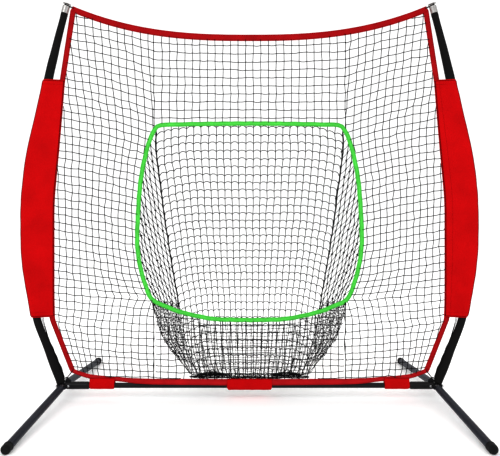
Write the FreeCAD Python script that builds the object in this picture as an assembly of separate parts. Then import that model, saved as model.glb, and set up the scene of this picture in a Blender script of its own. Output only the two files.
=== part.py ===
"""Pitching target net: a bow-framed net with a strike zone and a catch pocket, on a base with folding legs.

Millimetres. X runs along the base bar, -Y points to the player, Z is up. The origin is on the ground under
the middle of the bar, and the net hangs in the plane Y = 0. Everything is symmetric about X = 0: side -1 is
the left of the player's view, side +1 the right.
"""

import FreeCAD, Part
import math
import os

from FreeCAD import Vector as V

os.makedirs("parts", exist_ok=True)

# ---------------------------------------------------------------- driving dimensions
SIDES = (("left", -1), ("right", 1))
ENDS = (("front", -1), ("rear", 1))
REAR = V(0, 1, 0)
UP = V(0, 0, 1)
# How far cutting shapes overshoot what they cut, and plates wider and higher than the whole net
OVERSHOOT = 60.0
BEYOND_X = 1300.0
BEYOND_Z = 2400.0

# Base bar: two thin halves on an inner coupling
BAR_Z = 73.0
BAR_R = 14.5
BAR_WALL = 1.5
BAR_GAP = 0.4
BAR_OUTER_X = 930.0
FIT = 0.1
COUPLING_HALF = 110.0
COUPLING_R = BAR_R - BAR_WALL - FIT
COUPLING_WALL = 1.8

# Thicker tube at each end of the bar, swaged down where it grips the bar
END_R = 21.0
END_WALL = 2.0
END_OUTER_X = 1024.0
NECK_START_X = 905.0
NECK_END_X = 800.0
NECK_TAPER = 8.0
NECK_R = 17.0

# End bracket: two plates with a hinge lobe in front and one behind
PIVOT_X = 1040.0
PIVOT_Y = 46.0
PLATE_GAP = 10.6
PLATE_T = 3.0
LOBE_R = 22.0
BRACKET_OUTER_X = 1076.0
BRACKET_INNER_X = 1024.5
BRACKET_HALF_Y = 24.0
STOP_X = 1058.5
SPIGOT_R = END_R - END_WALL - FIT
SPIGOT_INNER_X = 985.0
SPIGOT_OUTER_X = 1032.0
SPIGOT_WALL = 3.0
LUG_T = 3.0
LUG_TOP_Z = 120.0
LUG_OUTER_X = 1033.5
LUG_HOLE = (1026.5, 112.0)
LUG_HOLE_R = 4.0

# Hinge bolts
BOLT_R = 5.0
BOLT_HEAD_ACROSS = 16.0
BOLT_HEAD_H = 6.4
NUT_H = 8.0
HINGE_CLEARANCE = 0.06

# Legs
LEG_R = 19.0
LEG_WALL = 1.5
LEG_START = 27.0
LEG_REACH = 754.0
LEG_SPLAY = 0.5
TONGUE_T = 10.0
TONGUE_R = 18.0
CAP_R = 21.5
CAP_Z = 20.6
CAP_SKIRT = 30.0
CAP_LIP = 4.0
CAP_LIP_R = 22.3

# Rivets
RIVET_R = 3.0
RIVET_HEAD_R = 6.0
RIVET_HEAD_H = 2.6
END_RIVET_X = 1012.0
COUPLING_RIVET_X = -80.0

# Bow pole: its centre line in the plane Y = 0, as lengths and headings, in degrees from upright.
# A positive heading leans the pole towards the middle as it rises.
POLE_FOOT = (1053.4, 79.6)
POLE_RUNS = (
    (330.0, -21.4, -21.4),
    (100.0, -21.4, -11.0),
    (200.0, -11.0, -9.0),
    (240.0, -9.0, 0.0),
    (90.0, 0.0, 0.0),
    (480.0, 0.0, 13.6),
    (300.0, 13.6, 12.2),
    (430.0, 12.2, 15.4),
)
POLE_R = 12.7
POLE_WALL = 2.8
POLE_BOTTOM_S = 8.0
POLE_JOINTS_S = (745.0, 1480.0)
POLE_TOP_S = 2136.0
POLE_JOINT_GAP = 0.5
FERRULE_R = 14.7
FERRULE_HALF = 55.0
SHOCK_CORD_R = 2.5
SHOCK_CORD_S = (POLE_BOTTOM_S + 100.0, POLE_TOP_S - 30.0)

# Pole socket
SOCKET_R = 16.0
SOCKET_TOP_S = 125.0
FLANGE_T = 3.0
FLANGE_HALF_X = 19.0
FLANGE_HALF_Y = 21.0
SOCKET_BUTTON_S = 70.0

# Black fabric sleeve over the pole
POLE_SLEEVE_R = 22.0
POLE_SLEEVE_WALL = 2.0
POLE_SLEEVE_BOTTOM_S = 10.0
POLE_SLEEVE_TOP_S = 2134.0
# What soft parts keep from the metal beside them
SOFT_GAP = 0.5

# Pole tip: a metal cap that is grooved for the elastic loop
TIP_R = 20.5
TIP_H = 41.0
TIP_NECK_R = 9.0
TIP_NECK_H = 11.0
TIP_DISC_R = 23.0
TIP_DISC_H = 3.5
TIP_PLUG = 25.0
TIP_CHAMFER = 1.2

# Snap buttons
BUTTON_R = 4.0
BUTTON_FLANGE_R = 5.5
BUTTON_FLANGE_T = 1.5
BUTTON_CLEARANCE = 0.08
BUTTON_PROUD = 2.6
BUTTON_DOME_R = 1.8
COUPLING_BUTTON_X = 70.0
SPRING_T = 0.8
SPRING_W = 9.0
SPRING_L = 42.0

# Wire hook on the bracket's outer side
HOOK_WIRE_R = 1.75
HOOK_BEND_R = 7.0
HOOK_Z = 76.0
HOOK_TAIL = 8.0

# Net outline, in the plane Y = 0
NET_T = 2.0
# The net's top and bottom edges are drawn past its corners, then cut to its sides
EDGE_REACH = 1150.0
BINDING_T = 3.0
NET_TOP_MID_Z = 2041.4
NET_TOP_RISE = 164.1
NET_TOP_POWER = 2.6
NET_TOP_X = 1001.1
NET_LOW_EDGE = (
    (0.0, 76.8),
    (300.0, 79.2),
    (560.0, 83.0),
    (660.0, 88.5),
    (728.0, 94.2),
    (826.0, 102.0),
    (905.0, 112.0),
    (952.0, 127.0),
    (1005.6, 147.0),
    (1180.0, 212.0),
)
BINDING_TOP_W = 36.0
BINDING_LOW_W = 25.0
BINDING_LOW_MID_W = 31.0
BINDING_LOW_EVEN_X = 700.0
BINDING_SIDE_W = 31.0
# Between the side tabs the lower binding hangs in front of the bar: how far its lower edge stands forward
LEAN_Y = -17.0
LEAN_FULL_X = 600.0
LEAN_NONE_X = 740.0
# The net's side edge, from the top corner down: lengths and headings, in degrees from straight down.
# A positive heading leads outwards.
NET_SIDE_START = (1001.1, 2205.5)
NET_SIDE_RUNS = (
    (423.0, 8.7, 8.7),
    (30.0, 8.7, 4.4),
    (570.0, 4.4, 5.6),
    (160.0, 5.6, 0.0),
    (370.0, 0.0, 0.0),
    (200.0, 0.0, -1.5),
    (30.0, -1.5, -21.5),
    (320.0, -21.5, -21.5),
)
CORNER_HOLE_R = 4.5
TOP_HOLE = (986.0, 2189.0)
LOW_HOLE = (992.0, 156.0)
NET_SPLIT_X = 535.0
NET_SPLIT_Z = 1000.0
SEAM_GAP = 0.3

# Strike-zone rim: right half of its centre line, from the top round to the bottom
RIM_HALF = (
    (0.0, 1542.5),
    (150.0, 1541.8),
    (300.0, 1539.5),
    (430.0, 1536.5),
    (500.0, 1534.0),
    (519.0, 1526.5),
    (534.0, 1505.0),
    (556.0, 1462.0),
    (583.0, 1370.0),
    (610.0, 1231.0),
    (626.0, 1035.0),
    (630.0, 860.0),
    (615.0, 745.0),
    (586.0, 640.0),
    (548.0, 556.0),
    (480.0, 520.0),
    (385.0, 484.0),
    (205.0, 446.0),
    (90.0, 440.5),
    (0.0, 439.2),
)
RIM_HALF_W = 12.0
RIM_T = 5.0

# Catch pocket: one row per height of the back panel, as (centre y, centre z), and the right-hand crease
# where the back panel meets the side panel, as (x, y, z)
POCKET_T = 2.8
POCKET_SKEW = -32.0
POCKET_BOW = 2.4
POCKET_BACK = (
    ((4.5, 1541.5), (522.0, 4.5, 1522.0)),
    ((56.0, 1402.0), (527.0, 48.0, 1400.0)),
    ((94.0, 1265.0), (516.0, 84.0, 1263.0)),
    ((132.0, 1129.0), (504.6, 120.0, 1129.0)),
    ((188.0, 934.0), (485.0, 176.0, 934.0)),
    ((246.0, 697.0), (453.6, 230.0, 697.0)),
    ((272.0, 565.0), (434.0, 252.0, 565.0)),
    ((285.0, 430.0), (413.0, 258.0, 435.0)),
    ((265.0, 300.0), (388.0, 236.0, 312.0)),
    ((212.0, 186.0), (348.0, 182.0, 200.0)),
    ((132.0, 114.0), (312.0, 116.0, 130.0)),
    ((70.0, 97.0), (292.0, 80.0, 107.0)),
)
# Front edge of the right-hand side panel, row by row: down the rim, then down the bag's front corner
POCKET_CORNER = (
    (529.0, 4.5, 1512.0),
    (578.0, 4.5, 1392.0),
    (604.0, 4.5, 1262.0),
    (619.0, 4.5, 1129.0),
    (629.5, 4.5, 934.0),
    (602.0, 4.5, 692.0),
    (550.0, 7.0, 558.0),
    (522.0, 42.0, 436.0),
    (482.0, 76.0, 306.0),
    (400.0, 84.0, 200.0),
    (350.0, 78.0, 134.0),
    (330.0, 72.0, 107.0),
)
# The bag's front wall under the rim: centre, and right-hand edge
POCKET_FRONT = (
    ((4.5, 441.0), (546.0, 7.0, 556.0)),
    ((16.0, 350.0), (518.0, 42.0, 436.0)),
    ((30.0, 255.0), (478.0, 76.0, 306.0)),
    ((44.0, 170.0), (396.0, 84.0, 200.0)),
    ((54.0, 120.0), (346.0, 78.0, 134.0)),
    ((60.0, 97.0), (325.0, 71.0, 107.0)),
)
SIDE_PANEL_BULGE = 6.0

# Side sleeves: a teardrop tube from round the pole to the net's side edge
SLEEVE_R = 27.0
SLEEVE_EDGE_R = 2.6
SLEEVE_WALL = 1.5
SLEEVE_BOTTOM_Z = 456.0
SLEEVE_TOP_Z = 1788.0
SLEEVE_STATIONS = 17

# Tabs that hold the net's lower edge to the bar, as teardrop straps:
# centre x, half width, strap radius, strap centre y and z, top z
TAB_T = 2.0
TAB_TIP_R = 2.6
TABS = (
    ("left", -825.5, 70.5, NECK_R + 0.5, 0.0, BAR_Z, 114.0),
    ("center", 0.0, 126.4, 20.6, -1.0, BAR_Z - 1.5, 106.5),
    ("right", 825.5, 70.5, NECK_R + 0.5, 0.0, BAR_Z, 114.0),
)

# Elastic loops
ELASTIC_R = 2.0
ELASTIC_EYE_R = 4.5


# ---------------------------------------------------------------- helpers
def save(name, *solids):
    """Write one node; several solids make a group of separate pieces."""
    shape = solids[0] if len(solids) == 1 else Part.makeCompound(list(solids))
    shape.exportStep("parts/%s.step" % name)


def mirrored(shape, side):
    """The shape is drawn at +X; side -1 gives its mirror image."""
    if side > 0:
        return shape
    return shape.mirror(V(0, 0, 0), V(1, 0, 0))


def tube(radius, bore, start, direction, length):
    outer = Part.makeCylinder(radius, length, start, direction)
    return outer.cut(Part.makeCylinder(bore, length, start, direction))


def box(x0, x1, y0, y1, z0, z1):
    return Part.makeBox(x1 - x0, y1 - y0, z1 - z0, V(x0, y0, z0))


def plate_xz(points, thickness, y=0.0):
    """A flat plate in an XZ plane, centred on y, from the corners of its outline."""
    corners = [V(px, y - thickness / 2, pz) for px, pz in points]
    wire = Part.makePolygon(corners + [corners[0]])
    return Part.Face(wire).extrude(V(0, thickness, 0))


def fuse(shapes):
    return shapes[0].multiFuse(shapes[1:]).removeSplitter()


class ArcPath:
    """A chain of straight runs and tangent arcs in the plane Y = 0.

    It starts at (x, z); rise is +1 going up and -1 going down; a heading turns the run towards the
    middle (going up) or outwards (going down), in degrees.
    """

    def __init__(self, start, runs, rise, outward):
        self.rise = rise
        self.outward = outward
        self.spans = []
        point = start
        s = 0.0
        for length, first, last in runs:
            self.spans.append((s, length, first, last, point))
            s += length
            point = self.end_of(point, length, first, last)
        self.length = s

    def end_of(self, point, length, first, last):
        a = math.radians(first)
        b = math.radians(last)
        if abs(b - a) < 1e-9:
            dx = length * math.sin(a)
            dz = length * math.cos(a)
        else:
            radius = length / (b - a)
            dx = radius * (math.cos(a) - math.cos(b))
            dz = radius * (math.sin(b) - math.sin(a))
        return (point[0] + self.outward * dx, point[1] + self.rise * dz)

    def span_at(self, s):
        for span in self.spans:
            if s <= span[0] + span[1] + 1e-6:
                return span
        return self.spans[-1]

    def heading(self, s):
        start, length, first, last, _ = self.span_at(s)
        return first + (last - first) * (s - start) / length

    def point(self, s):
        start, length, first, last, point = self.span_at(s)
        x, z = self.end_of(point, s - start, first, self.heading(s))
        return V(x, 0, z)

    def tangent(self, s):
        a = math.radians(self.heading(s))
        return V(self.outward * math.sin(a), 0, self.rise * math.cos(a))

    def wire(self, s0, s1):
        edges = []
        for start, length, first, last, _ in self.spans:
            a = max(s0, start)
            b = min(s1, start + length)
            if b - a < 1e-3:
                continue
            if first == last:
                edges.append(Part.LineSegment(self.point(a), self.point(b)).toShape())
            else:
                middle = self.point((a + b) / 2)
                edges.append(Part.Arc(self.point(a), middle, self.point(b)).toShape())
        return Part.Wire(edges)

    def x_at(self, z):
        """The path's x where it crosses height z, by bisection."""
        low, high = 0.0, self.length
        for _ in range(50):
            mid = (low + high) / 2
            if (self.point(mid).z - z) * self.rise < 0:
                low = mid
            else:
                high = mid
        return self.point((low + high) / 2).x

    def sweep(self, s0, s1, radius, bore=0.0):
        """A round rod or tube of this radius along the path from s0 to s1."""
        centre = self.point(s0)
        axis = self.tangent(s0)
        outer = Part.Wire(Part.makeCircle(radius, centre, axis))
        profile = Part.Face(outer)
        if bore:
            inner = Part.Wire(Part.makeCircle(bore, centre, axis))
            profile = profile.cut(Part.Face(inner)).Faces[0]
        return self.wire(s0, s1).makePipe(profile)


POLE = ArcPath(POLE_FOOT, POLE_RUNS, 1, -1)
NET_SIDE = ArcPath(NET_SIDE_START, NET_SIDE_RUNS, -1, 1)


# ---------------------------------------------------------------- base bar
def bar_half(side):
    bore = BAR_R - BAR_WALL
    body = tube(BAR_R, bore, V(BAR_GAP / 2, 0, BAR_Z), V(1, 0, 0), BAR_OUTER_X - BAR_GAP / 2)
    if side > 0:
        body = body.cut(button_hole(V(COUPLING_BUTTON_X, 0, BAR_Z), V(0, 1, 0)))
    else:
        body = body.cut(rivet_hole(-COUPLING_RIVET_X, UP))
    return mirrored(body, side)


def bar_coupling():
    bore = COUPLING_R - COUPLING_WALL
    body = tube(COUPLING_R, bore, V(-COUPLING_HALF, 0, BAR_Z), V(1, 0, 0), 2 * COUPLING_HALF)
    body = body.cut(button_hole(V(COUPLING_BUTTON_X, 0, BAR_Z), V(0, 1, 0)))
    return body.cut(rivet_hole(COUPLING_RIVET_X, UP))


def bar_end(side):
    """A tube that narrows to a neck; drawn as a turned profile about the bar's axis."""
    bore = END_R - END_WALL
    neck_bore = BAR_R + FIT
    profile = [
        (END_OUTER_X, bore),
        (END_OUTER_X, END_R),
        (NECK_START_X, END_R),
        (NECK_START_X - NECK_TAPER, NECK_R),
        (NECK_END_X, NECK_R),
        (NECK_END_X, neck_bore),
        (NECK_START_X - NECK_TAPER, neck_bore),
        (NECK_START_X, bore),
    ]
    corners = [V(x, 0, BAR_Z + r) for x, r in profile]
    face = Part.Face(Part.makePolygon(corners + [corners[0]]))
    body = face.revolve(V(0, 0, BAR_Z), V(1, 0, 0), 360)
    return mirrored(body.cut(rivet_hole(END_RIVET_X, REAR)), side)


def rivet_hole(x, axis):
    centre = V(x, 0, BAR_Z)
    return Part.makeCylinder(RIVET_R, 4 * END_R, centre - axis * (2 * END_R), axis)


def rivet(x, axis, surface_r):
    """A shank right through the bar with a low dome at each end, outside the surface radius."""
    seat = surface_r + 0.1
    centre = V(x, 0, BAR_Z)
    pieces = [Part.makeCylinder(RIVET_R, 2 * seat, centre - axis * seat, axis)]
    dome_r = (RIVET_HEAD_R ** 2 + RIVET_HEAD_H ** 2) / (2 * RIVET_HEAD_H)
    for sign in (-1, 1):
        out = axis * sign
        ball = Part.makeSphere(dome_r, centre + out * (seat + RIVET_HEAD_H - dome_r))
        slab = Part.makeCylinder(dome_r, RIVET_HEAD_H, centre + out * seat, out)
        pieces.append(ball.common(slab))
    return fuse(pieces)


# ---------------------------------------------------------------- end brackets
def bracket_plate(z):
    """One of the bracket's two plates: a middle with a rounded hinge lobe in front and behind."""
    pieces = [box(BRACKET_INNER_X, BRACKET_OUTER_X, -BRACKET_HALF_Y, BRACKET_HALF_Y, z, z + PLATE_T)]
    for sign in (-1, 1):
        centre = V(PIVOT_X, sign * PIVOT_Y, z)
        pieces.append(Part.makeCylinder(LOBE_R, PLATE_T, centre))
        y0, y1 = sorted((0.0, sign * PIVOT_Y))
        pieces.append(box(PIVOT_X - LOBE_R + 7, PIVOT_X + LOBE_R, y0, y1, z, z + PLATE_T))
    plate = fuse(pieces)
    for sign in (-1, 1):
        hole = Part.makeCylinder(BOLT_R, PLATE_T, V(PIVOT_X, sign * PIVOT_Y, z))
        plate = plate.cut(hole)
    return plate


def end_bracket(side):
    low_z = BAR_Z - PLATE_GAP / 2 - PLATE_T
    top_z = BAR_Z + PLATE_GAP / 2
    web_z0, web_z1 = low_z + PLATE_T, top_z
    pieces = [bracket_plate(low_z), bracket_plate(top_z)]
    web = box(BRACKET_OUTER_X - PLATE_T, BRACKET_OUTER_X, -BRACKET_HALF_Y, BRACKET_HALF_Y, web_z0, web_z1)
    pieces.append(web)
    for sign in (-1, 1):
        y0, y1 = sorted((sign * (PIVOT_Y - 2), sign * (PIVOT_Y + LOBE_R * 0.5)))
        pieces.append(box(STOP_X, STOP_X + 2.0, y0, y1, web_z0, web_z1))
    spigot_length = SPIGOT_OUTER_X - SPIGOT_INNER_X
    spigot = tube(SPIGOT_R, SPIGOT_R - SPIGOT_WALL, V(SPIGOT_INNER_X, 0, BAR_Z), V(1, 0, 0), spigot_length)
    pieces.append(spigot)
    body = fuse(pieces)
    body = body.cut(rivet_hole(END_RIVET_X, REAR))
    plate_top = top_z + PLATE_T
    over_tube_z = BAR_Z + END_R + 0.4
    lug_outline = [
        (LUG_OUTER_X, plate_top),
        (BRACKET_INNER_X, plate_top),
        (BRACKET_INNER_X, over_tube_z),
        (1001.0, over_tube_z),
        (1020.0, LUG_TOP_Z),
        (LUG_OUTER_X, LUG_TOP_Z),
    ]
    lug = plate_xz(lug_outline, LUG_T)
    hole = Part.makeCylinder(LUG_HOLE_R, 2 * LUG_T, V(LUG_HOLE[0], -LUG_T, LUG_HOLE[1]), V(0, 1, 0))
    return mirrored(fuse([body, lug.cut(hole)]), side)


def net_hook(side):
    """A bent wire: it leaves the bracket's web, curls over and ends pointing down."""
    x0 = BRACKET_OUTER_X + 0.1
    start = V(x0, 0, HOOK_Z)
    bend_start = V(x0 + 4.0, 0, HOOK_Z)
    centre = V(x0 + 4.0, 0, HOOK_Z - HOOK_BEND_R)
    middle = centre + V(HOOK_BEND_R * math.sin(math.pi / 4), 0, HOOK_BEND_R * math.cos(math.pi / 4))
    bend_end = centre + V(HOOK_BEND_R, 0, 0)
    tail_end = bend_end - V(0, 0, HOOK_TAIL)
    edges = [
        Part.LineSegment(start, bend_start).toShape(),
        Part.Arc(bend_start, middle, bend_end).toShape(),
        Part.LineSegment(bend_end, tail_end).toShape(),
    ]
    profile = Part.Face(Part.Wire(Part.makeCircle(HOOK_WIRE_R, start, V(1, 0, 0))))
    return mirrored(Part.Wire(edges).makePipe(profile), side)


# ---------------------------------------------------------------- legs
def hinge_bolts(side):
    """Two bolts, each a hexagon head, a plain shank through plates and tongue, and a nut below."""
    top = BAR_Z + PLATE_GAP / 2 + PLATE_T
    bottom = BAR_Z - PLATE_GAP / 2 - PLATE_T
    bolts = []
    for sign in (-1, 1):
        shank = Part.makeCylinder(BOLT_R, top - bottom, V(PIVOT_X, sign * PIVOT_Y, bottom))
        head = hexagon(PIVOT_X, sign * PIVOT_Y, top, BOLT_HEAD_H)
        nut = hexagon(PIVOT_X, sign * PIVOT_Y, bottom - NUT_H, NUT_H)
        bolts.append(mirrored(fuse([shank, head, nut]), side))
    return bolts


def hexagon(x, y, z, height):
    corner_r = BOLT_HEAD_ACROSS / math.sqrt(3)
    corners = []
    for step in range(7):
        angle = math.radians(60 * step)
        corners.append(V(x + corner_r * math.cos(angle), y + corner_r * math.sin(angle), z))
    return Part.Face(Part.makePolygon(corners)).extrude(V(0, 0, height))


def leg_axis():
    """Start and direction of a leg's tube, drawn for the front right leg from its hinge."""
    drop = BAR_Z - CAP_Z
    run = LEG_REACH - LEG_START
    slope = math.atan2(drop, run)
    splay = math.radians(LEG_SPLAY)
    forward = V(math.sin(splay), -math.cos(splay), 0)
    start = V(PIVOT_X, -PIVOT_Y, BAR_Z) + forward * LEG_START
    direction = forward * math.cos(slope) - V(0, 0, math.sin(slope))
    return start, direction, run / math.cos(slope)


def placed_leg(shape, side, end):
    """A leg piece is drawn for the front right; the others are its mirror images."""
    if end > 0:
        shape = shape.mirror(V(0, 0, 0), V(0, 1, 0))
    return mirrored(shape, side)


def leg(side, end):
    start, direction, length = leg_axis()
    tube_end = length - 3.0
    shell = tube(LEG_R, LEG_R - LEG_WALL, start, direction, tube_end)
    plug = Part.makeCylinder(LEG_R, 12.0, start, direction)
    pivot = V(PIVOT_X, -PIVOT_Y, BAR_Z - TONGUE_T / 2)
    eye = Part.makeCylinder(TONGUE_R, TONGUE_T, pivot)
    strap = Part.makeBox(2 * TONGUE_R, LEG_START + 8, TONGUE_T, V(-TONGUE_R, -LEG_START - 8, -TONGUE_T / 2))
    strap.rotate(V(0, 0, 0), V(0, 0, 1), LEG_SPLAY)
    strap.translate(V(PIVOT_X, -PIVOT_Y, BAR_Z))
    bore = Part.makeCylinder(BOLT_R + HINGE_CLEARANCE, TONGUE_T, pivot)
    body = fuse([shell, plug, eye, strap]).cut(bore)
    return placed_leg(body, side, end)


def leg_cap(side, end):
    """A rubber cap: a skirt over the tube's end, a lip, and a round nose with a small flat on the ground."""
    start, direction, length = leg_axis()
    tip = start + direction * length
    skirt_start = tip - direction * CAP_SKIRT
    skirt = Part.makeCylinder(CAP_R, CAP_SKIRT, skirt_start, direction)
    lip = Part.makeCylinder(CAP_LIP_R, CAP_LIP, skirt_start, direction)
    nose = Part.makeSphere(CAP_R, tip)
    body = fuse([skirt, nose, lip])
    body = body.cut(Part.makeCylinder(LEG_R + 0.02, CAP_SKIRT - 3.0, skirt_start, direction))
    ground = Part.makeBox(4 * CAP_R, 4 * CAP_R, CAP_R, tip + V(-2 * CAP_R, -2 * CAP_R, -CAP_Z - CAP_R))
    return placed_leg(body.cut(ground), side, end)


# ---------------------------------------------------------------- bow poles
def pole_section(side, s0, s1):
    body = POLE.sweep(s0, s1, POLE_R, POLE_R - POLE_WALL)
    if s0 < SOCKET_BUTTON_S < s1:
        body = body.cut(socket_button_hole())
    return mirrored(body, side)


def ferrules(side):
    pieces = []
    for s in POLE_JOINTS_S:
        ferrule = POLE.sweep(s - FERRULE_HALF, s + FERRULE_HALF, FERRULE_R, POLE_R + FIT)
        pieces.append(mirrored(ferrule, side))
    return pieces


def shock_cord(side):
    cord = POLE.sweep(SHOCK_CORD_S[0], SHOCK_CORD_S[1], SHOCK_CORD_R)
    return mirrored(cord, side)


def pole_sleeve(side):
    bore = POLE_SLEEVE_R - POLE_SLEEVE_WALL
    body = POLE.sweep(POLE_SLEEVE_BOTTOM_S, POLE_SLEEVE_TOP_S, POLE_SLEEVE_R, bore)
    above_plates = BAR_Z + PLATE_GAP / 2 + PLATE_T + FLANGE_T + SOFT_GAP
    low = box(0.0, BEYOND_X, -OVERSHOOT, OVERSHOOT, 0.0, above_plates)
    return mirrored(body.cut(low), side)


def pole_socket(side):
    """A slanting tube on a small foot plate that is welded to the bracket's top plate."""
    plate_z = BAR_Z + PLATE_GAP / 2 + PLATE_T
    foot_x = POLE.x_at(plate_z)
    foot = box(foot_x - FLANGE_HALF_X, foot_x + FLANGE_HALF_X, -FLANGE_HALF_Y, FLANGE_HALF_Y,
               plate_z, plate_z + FLANGE_T)
    axis = POLE.tangent(0)
    start = POLE.point(0) - axis * OVERSHOOT
    outer = Part.makeCylinder(SOCKET_R, SOCKET_TOP_S + OVERSHOOT, start, axis)
    below = box(0.0, BEYOND_X, -OVERSHOOT, OVERSHOOT, 0.0, plate_z)
    body = fuse([outer.cut(below), foot])
    bore_start = POLE.point(POLE_BOTTOM_S)
    body = body.cut(Part.makeCylinder(POLE_R + FIT, SOCKET_TOP_S, bore_start, axis))
    return mirrored(body.cut(socket_button_hole()), side)


def pole_tip(side):
    """A turned cap: a plug inside the pole, a body, a groove for the elastic loop and a thin head."""
    axis = POLE.tangent(POLE_TOP_S)
    start = POLE.point(POLE_TOP_S + 0.2)
    plug_r = POLE_R - POLE_WALL - FIT
    plug = Part.makeCylinder(plug_r, TIP_PLUG + 2.0, start - axis * TIP_PLUG, axis)
    body = Part.makeCylinder(TIP_R, TIP_H, start, axis)
    body = body.makeChamfer(TIP_CHAMFER, body.Edges)
    neck = Part.makeCylinder(TIP_NECK_R, TIP_NECK_H + 2.0, start + axis * (TIP_H - 1.0), axis)
    head = Part.makeCylinder(TIP_DISC_R, TIP_DISC_H, start + axis * (TIP_H + TIP_NECK_H), axis)
    head = head.makeFillet(1.0, head.Edges)
    return mirrored(fuse([plug, body, neck, head]), side)


def tip_neck_centre():
    axis = POLE.tangent(POLE_TOP_S)
    return POLE.point(POLE_TOP_S + 0.2) + axis * (TIP_H + TIP_NECK_H / 2)


# ---------------------------------------------------------------- snap buttons
def button_hole(centre, axis):
    return Part.makeCylinder(BUTTON_R + BUTTON_CLEARANCE, OVERSHOOT, centre, axis)


def button(centre, axis, surface_r, bore_r):
    """A domed pin with a flange that rests inside the bore; it stands proud of the outer surface."""
    flange_top = math.sqrt(bore_r ** 2 - BUTTON_FLANGE_R ** 2) - 0.15
    foot = centre + axis * (flange_top - BUTTON_FLANGE_T)
    flange = Part.makeCylinder(BUTTON_FLANGE_R, BUTTON_FLANGE_T, foot, axis)
    pin = Part.makeCylinder(BUTTON_R, surface_r + BUTTON_PROUD - flange_top + BUTTON_FLANGE_T, foot, axis)
    pin = pin.makeFillet(BUTTON_DOME_R, [e for e in pin.Edges if is_top_circle(e, centre, axis, surface_r)])
    return fuse([pin, flange])


def is_top_circle(edge, centre, axis, surface_r):
    """True for the edge round the button's outer end."""
    reach = (edge.CenterOfMass - centre).dot(axis)
    return reach > surface_r + BUTTON_PROUD - 0.01


def socket_button_axis():
    """The socket's button points to the rear, square to the pole."""
    return POLE.point(SOCKET_BUTTON_S), V(0, 1, 0)


def socket_button_hole():
    centre, axis = socket_button_axis()
    return button_hole(centre, axis)


def leaf_spring(centre, along, axis, reach):
    """A folded strip that lies inside a tube behind its button."""
    across = along.cross(axis)
    strip = Part.makeBox(SPRING_L, SPRING_W, SPRING_T, V(-SPRING_L / 2, -SPRING_W / 2, -SPRING_T / 2))
    placement = FreeCAD.Placement(V(0, 0, 0), FreeCAD.Rotation(along, across, axis, "ZXY"))
    strip.Placement = placement
    strip.translate(centre - axis * reach)
    return strip


# ---------------------------------------------------------------- net outline
def top_z(x):
    return NET_TOP_MID_Z + NET_TOP_RISE * (abs(x) / NET_TOP_X) ** NET_TOP_POWER


def smooth_points(points, steps, closed=False):
    """Points along a centripetal Catmull-Rom curve that passes through the given ones."""
    count = len(points)
    out = []
    for i in range(count if closed else count - 1):
        b = points[i]
        c = points[(i + 1) % count]
        a = points[i - 1] if closed or i else b * 2 - c
        d = points[(i + 2) % count] if closed or i + 2 < count else c * 2 - b
        t1 = math.sqrt((b - a).Length)
        t2 = t1 + math.sqrt((c - b).Length)
        t3 = t2 + math.sqrt((d - c).Length)
        for step in range(steps):
            t = t1 + (t2 - t1) * step / steps
            ab = a * ((t1 - t) / t1) + b * (t / t1)
            bc = b * ((t2 - t) / (t2 - t1)) + c * ((t - t1) / (t2 - t1))
            cd = c * ((t3 - t) / (t3 - t2)) + d * ((t - t2) / (t3 - t2))
            ac = ab * ((t2 - t) / t2) + bc * (t / t2)
            bd = bc * ((t3 - t) / (t3 - t1)) + cd * ((t - t1) / (t3 - t1))
            out.append(ac * ((t2 - t) / (t2 - t1)) + bd * ((t - t1) / (t2 - t1)))
    if not closed:
        out.append(points[-1])
    return out


def symmetric(half):
    """A whole row of points from its right half: left end first."""
    points = [V(x, 0, z) for x, z in half]
    return [V(-p.x, 0, p.z) for p in reversed(points[1:])] + points


LOW_POINTS = smooth_points(symmetric(NET_LOW_EDGE), 6)


def low_z(x):
    """Height of the net's lower edge, read between the neighbouring points of its smooth curve."""
    for a, b in zip(LOW_POINTS, LOW_POINTS[1:]):
        if a.x <= x <= b.x:
            return a.z + (b.z - a.z) * (x - a.x) / (b.x - a.x)
    return LOW_POINTS[-1].z


def low_top_z(x):
    """Height of the lower binding's upper edge."""
    share = min(1.0, abs(x) / BINDING_LOW_EVEN_X)
    return low_z(x) + BINDING_LOW_MID_W + (BINDING_LOW_W - BINDING_LOW_MID_W) * share * share


def lean_y(x):
    share = (LEAN_NONE_X - abs(x)) / (LEAN_NONE_X - LEAN_FULL_X)
    share = max(0.0, min(1.0, share))
    return LEAN_Y * share * share * (3 - 2 * share)


def flat_y(x):
    return 0.0


def edge_curve(height, reach, shift=0.0, depth=flat_y, steps=48):
    """One of the net's edges as a smooth curve from -reach to reach."""
    points = []
    for i in range(steps + 1):
        x = reach * (2.0 * i / steps - 1.0)
        points.append(V(x, depth(x), height(x) + shift))
    curve = Part.BSplineCurve()
    curve.interpolate(points)
    return curve.toShape()


def band_between(lower, upper, thickness):
    """The plate between two edges that run from left to right, centred on their own depth."""
    face = Part.makeRuledSurface(lower, upper)
    face.translate(V(0, -thickness / 2, 0))
    return face.extrude(V(0, thickness, 0))


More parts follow.
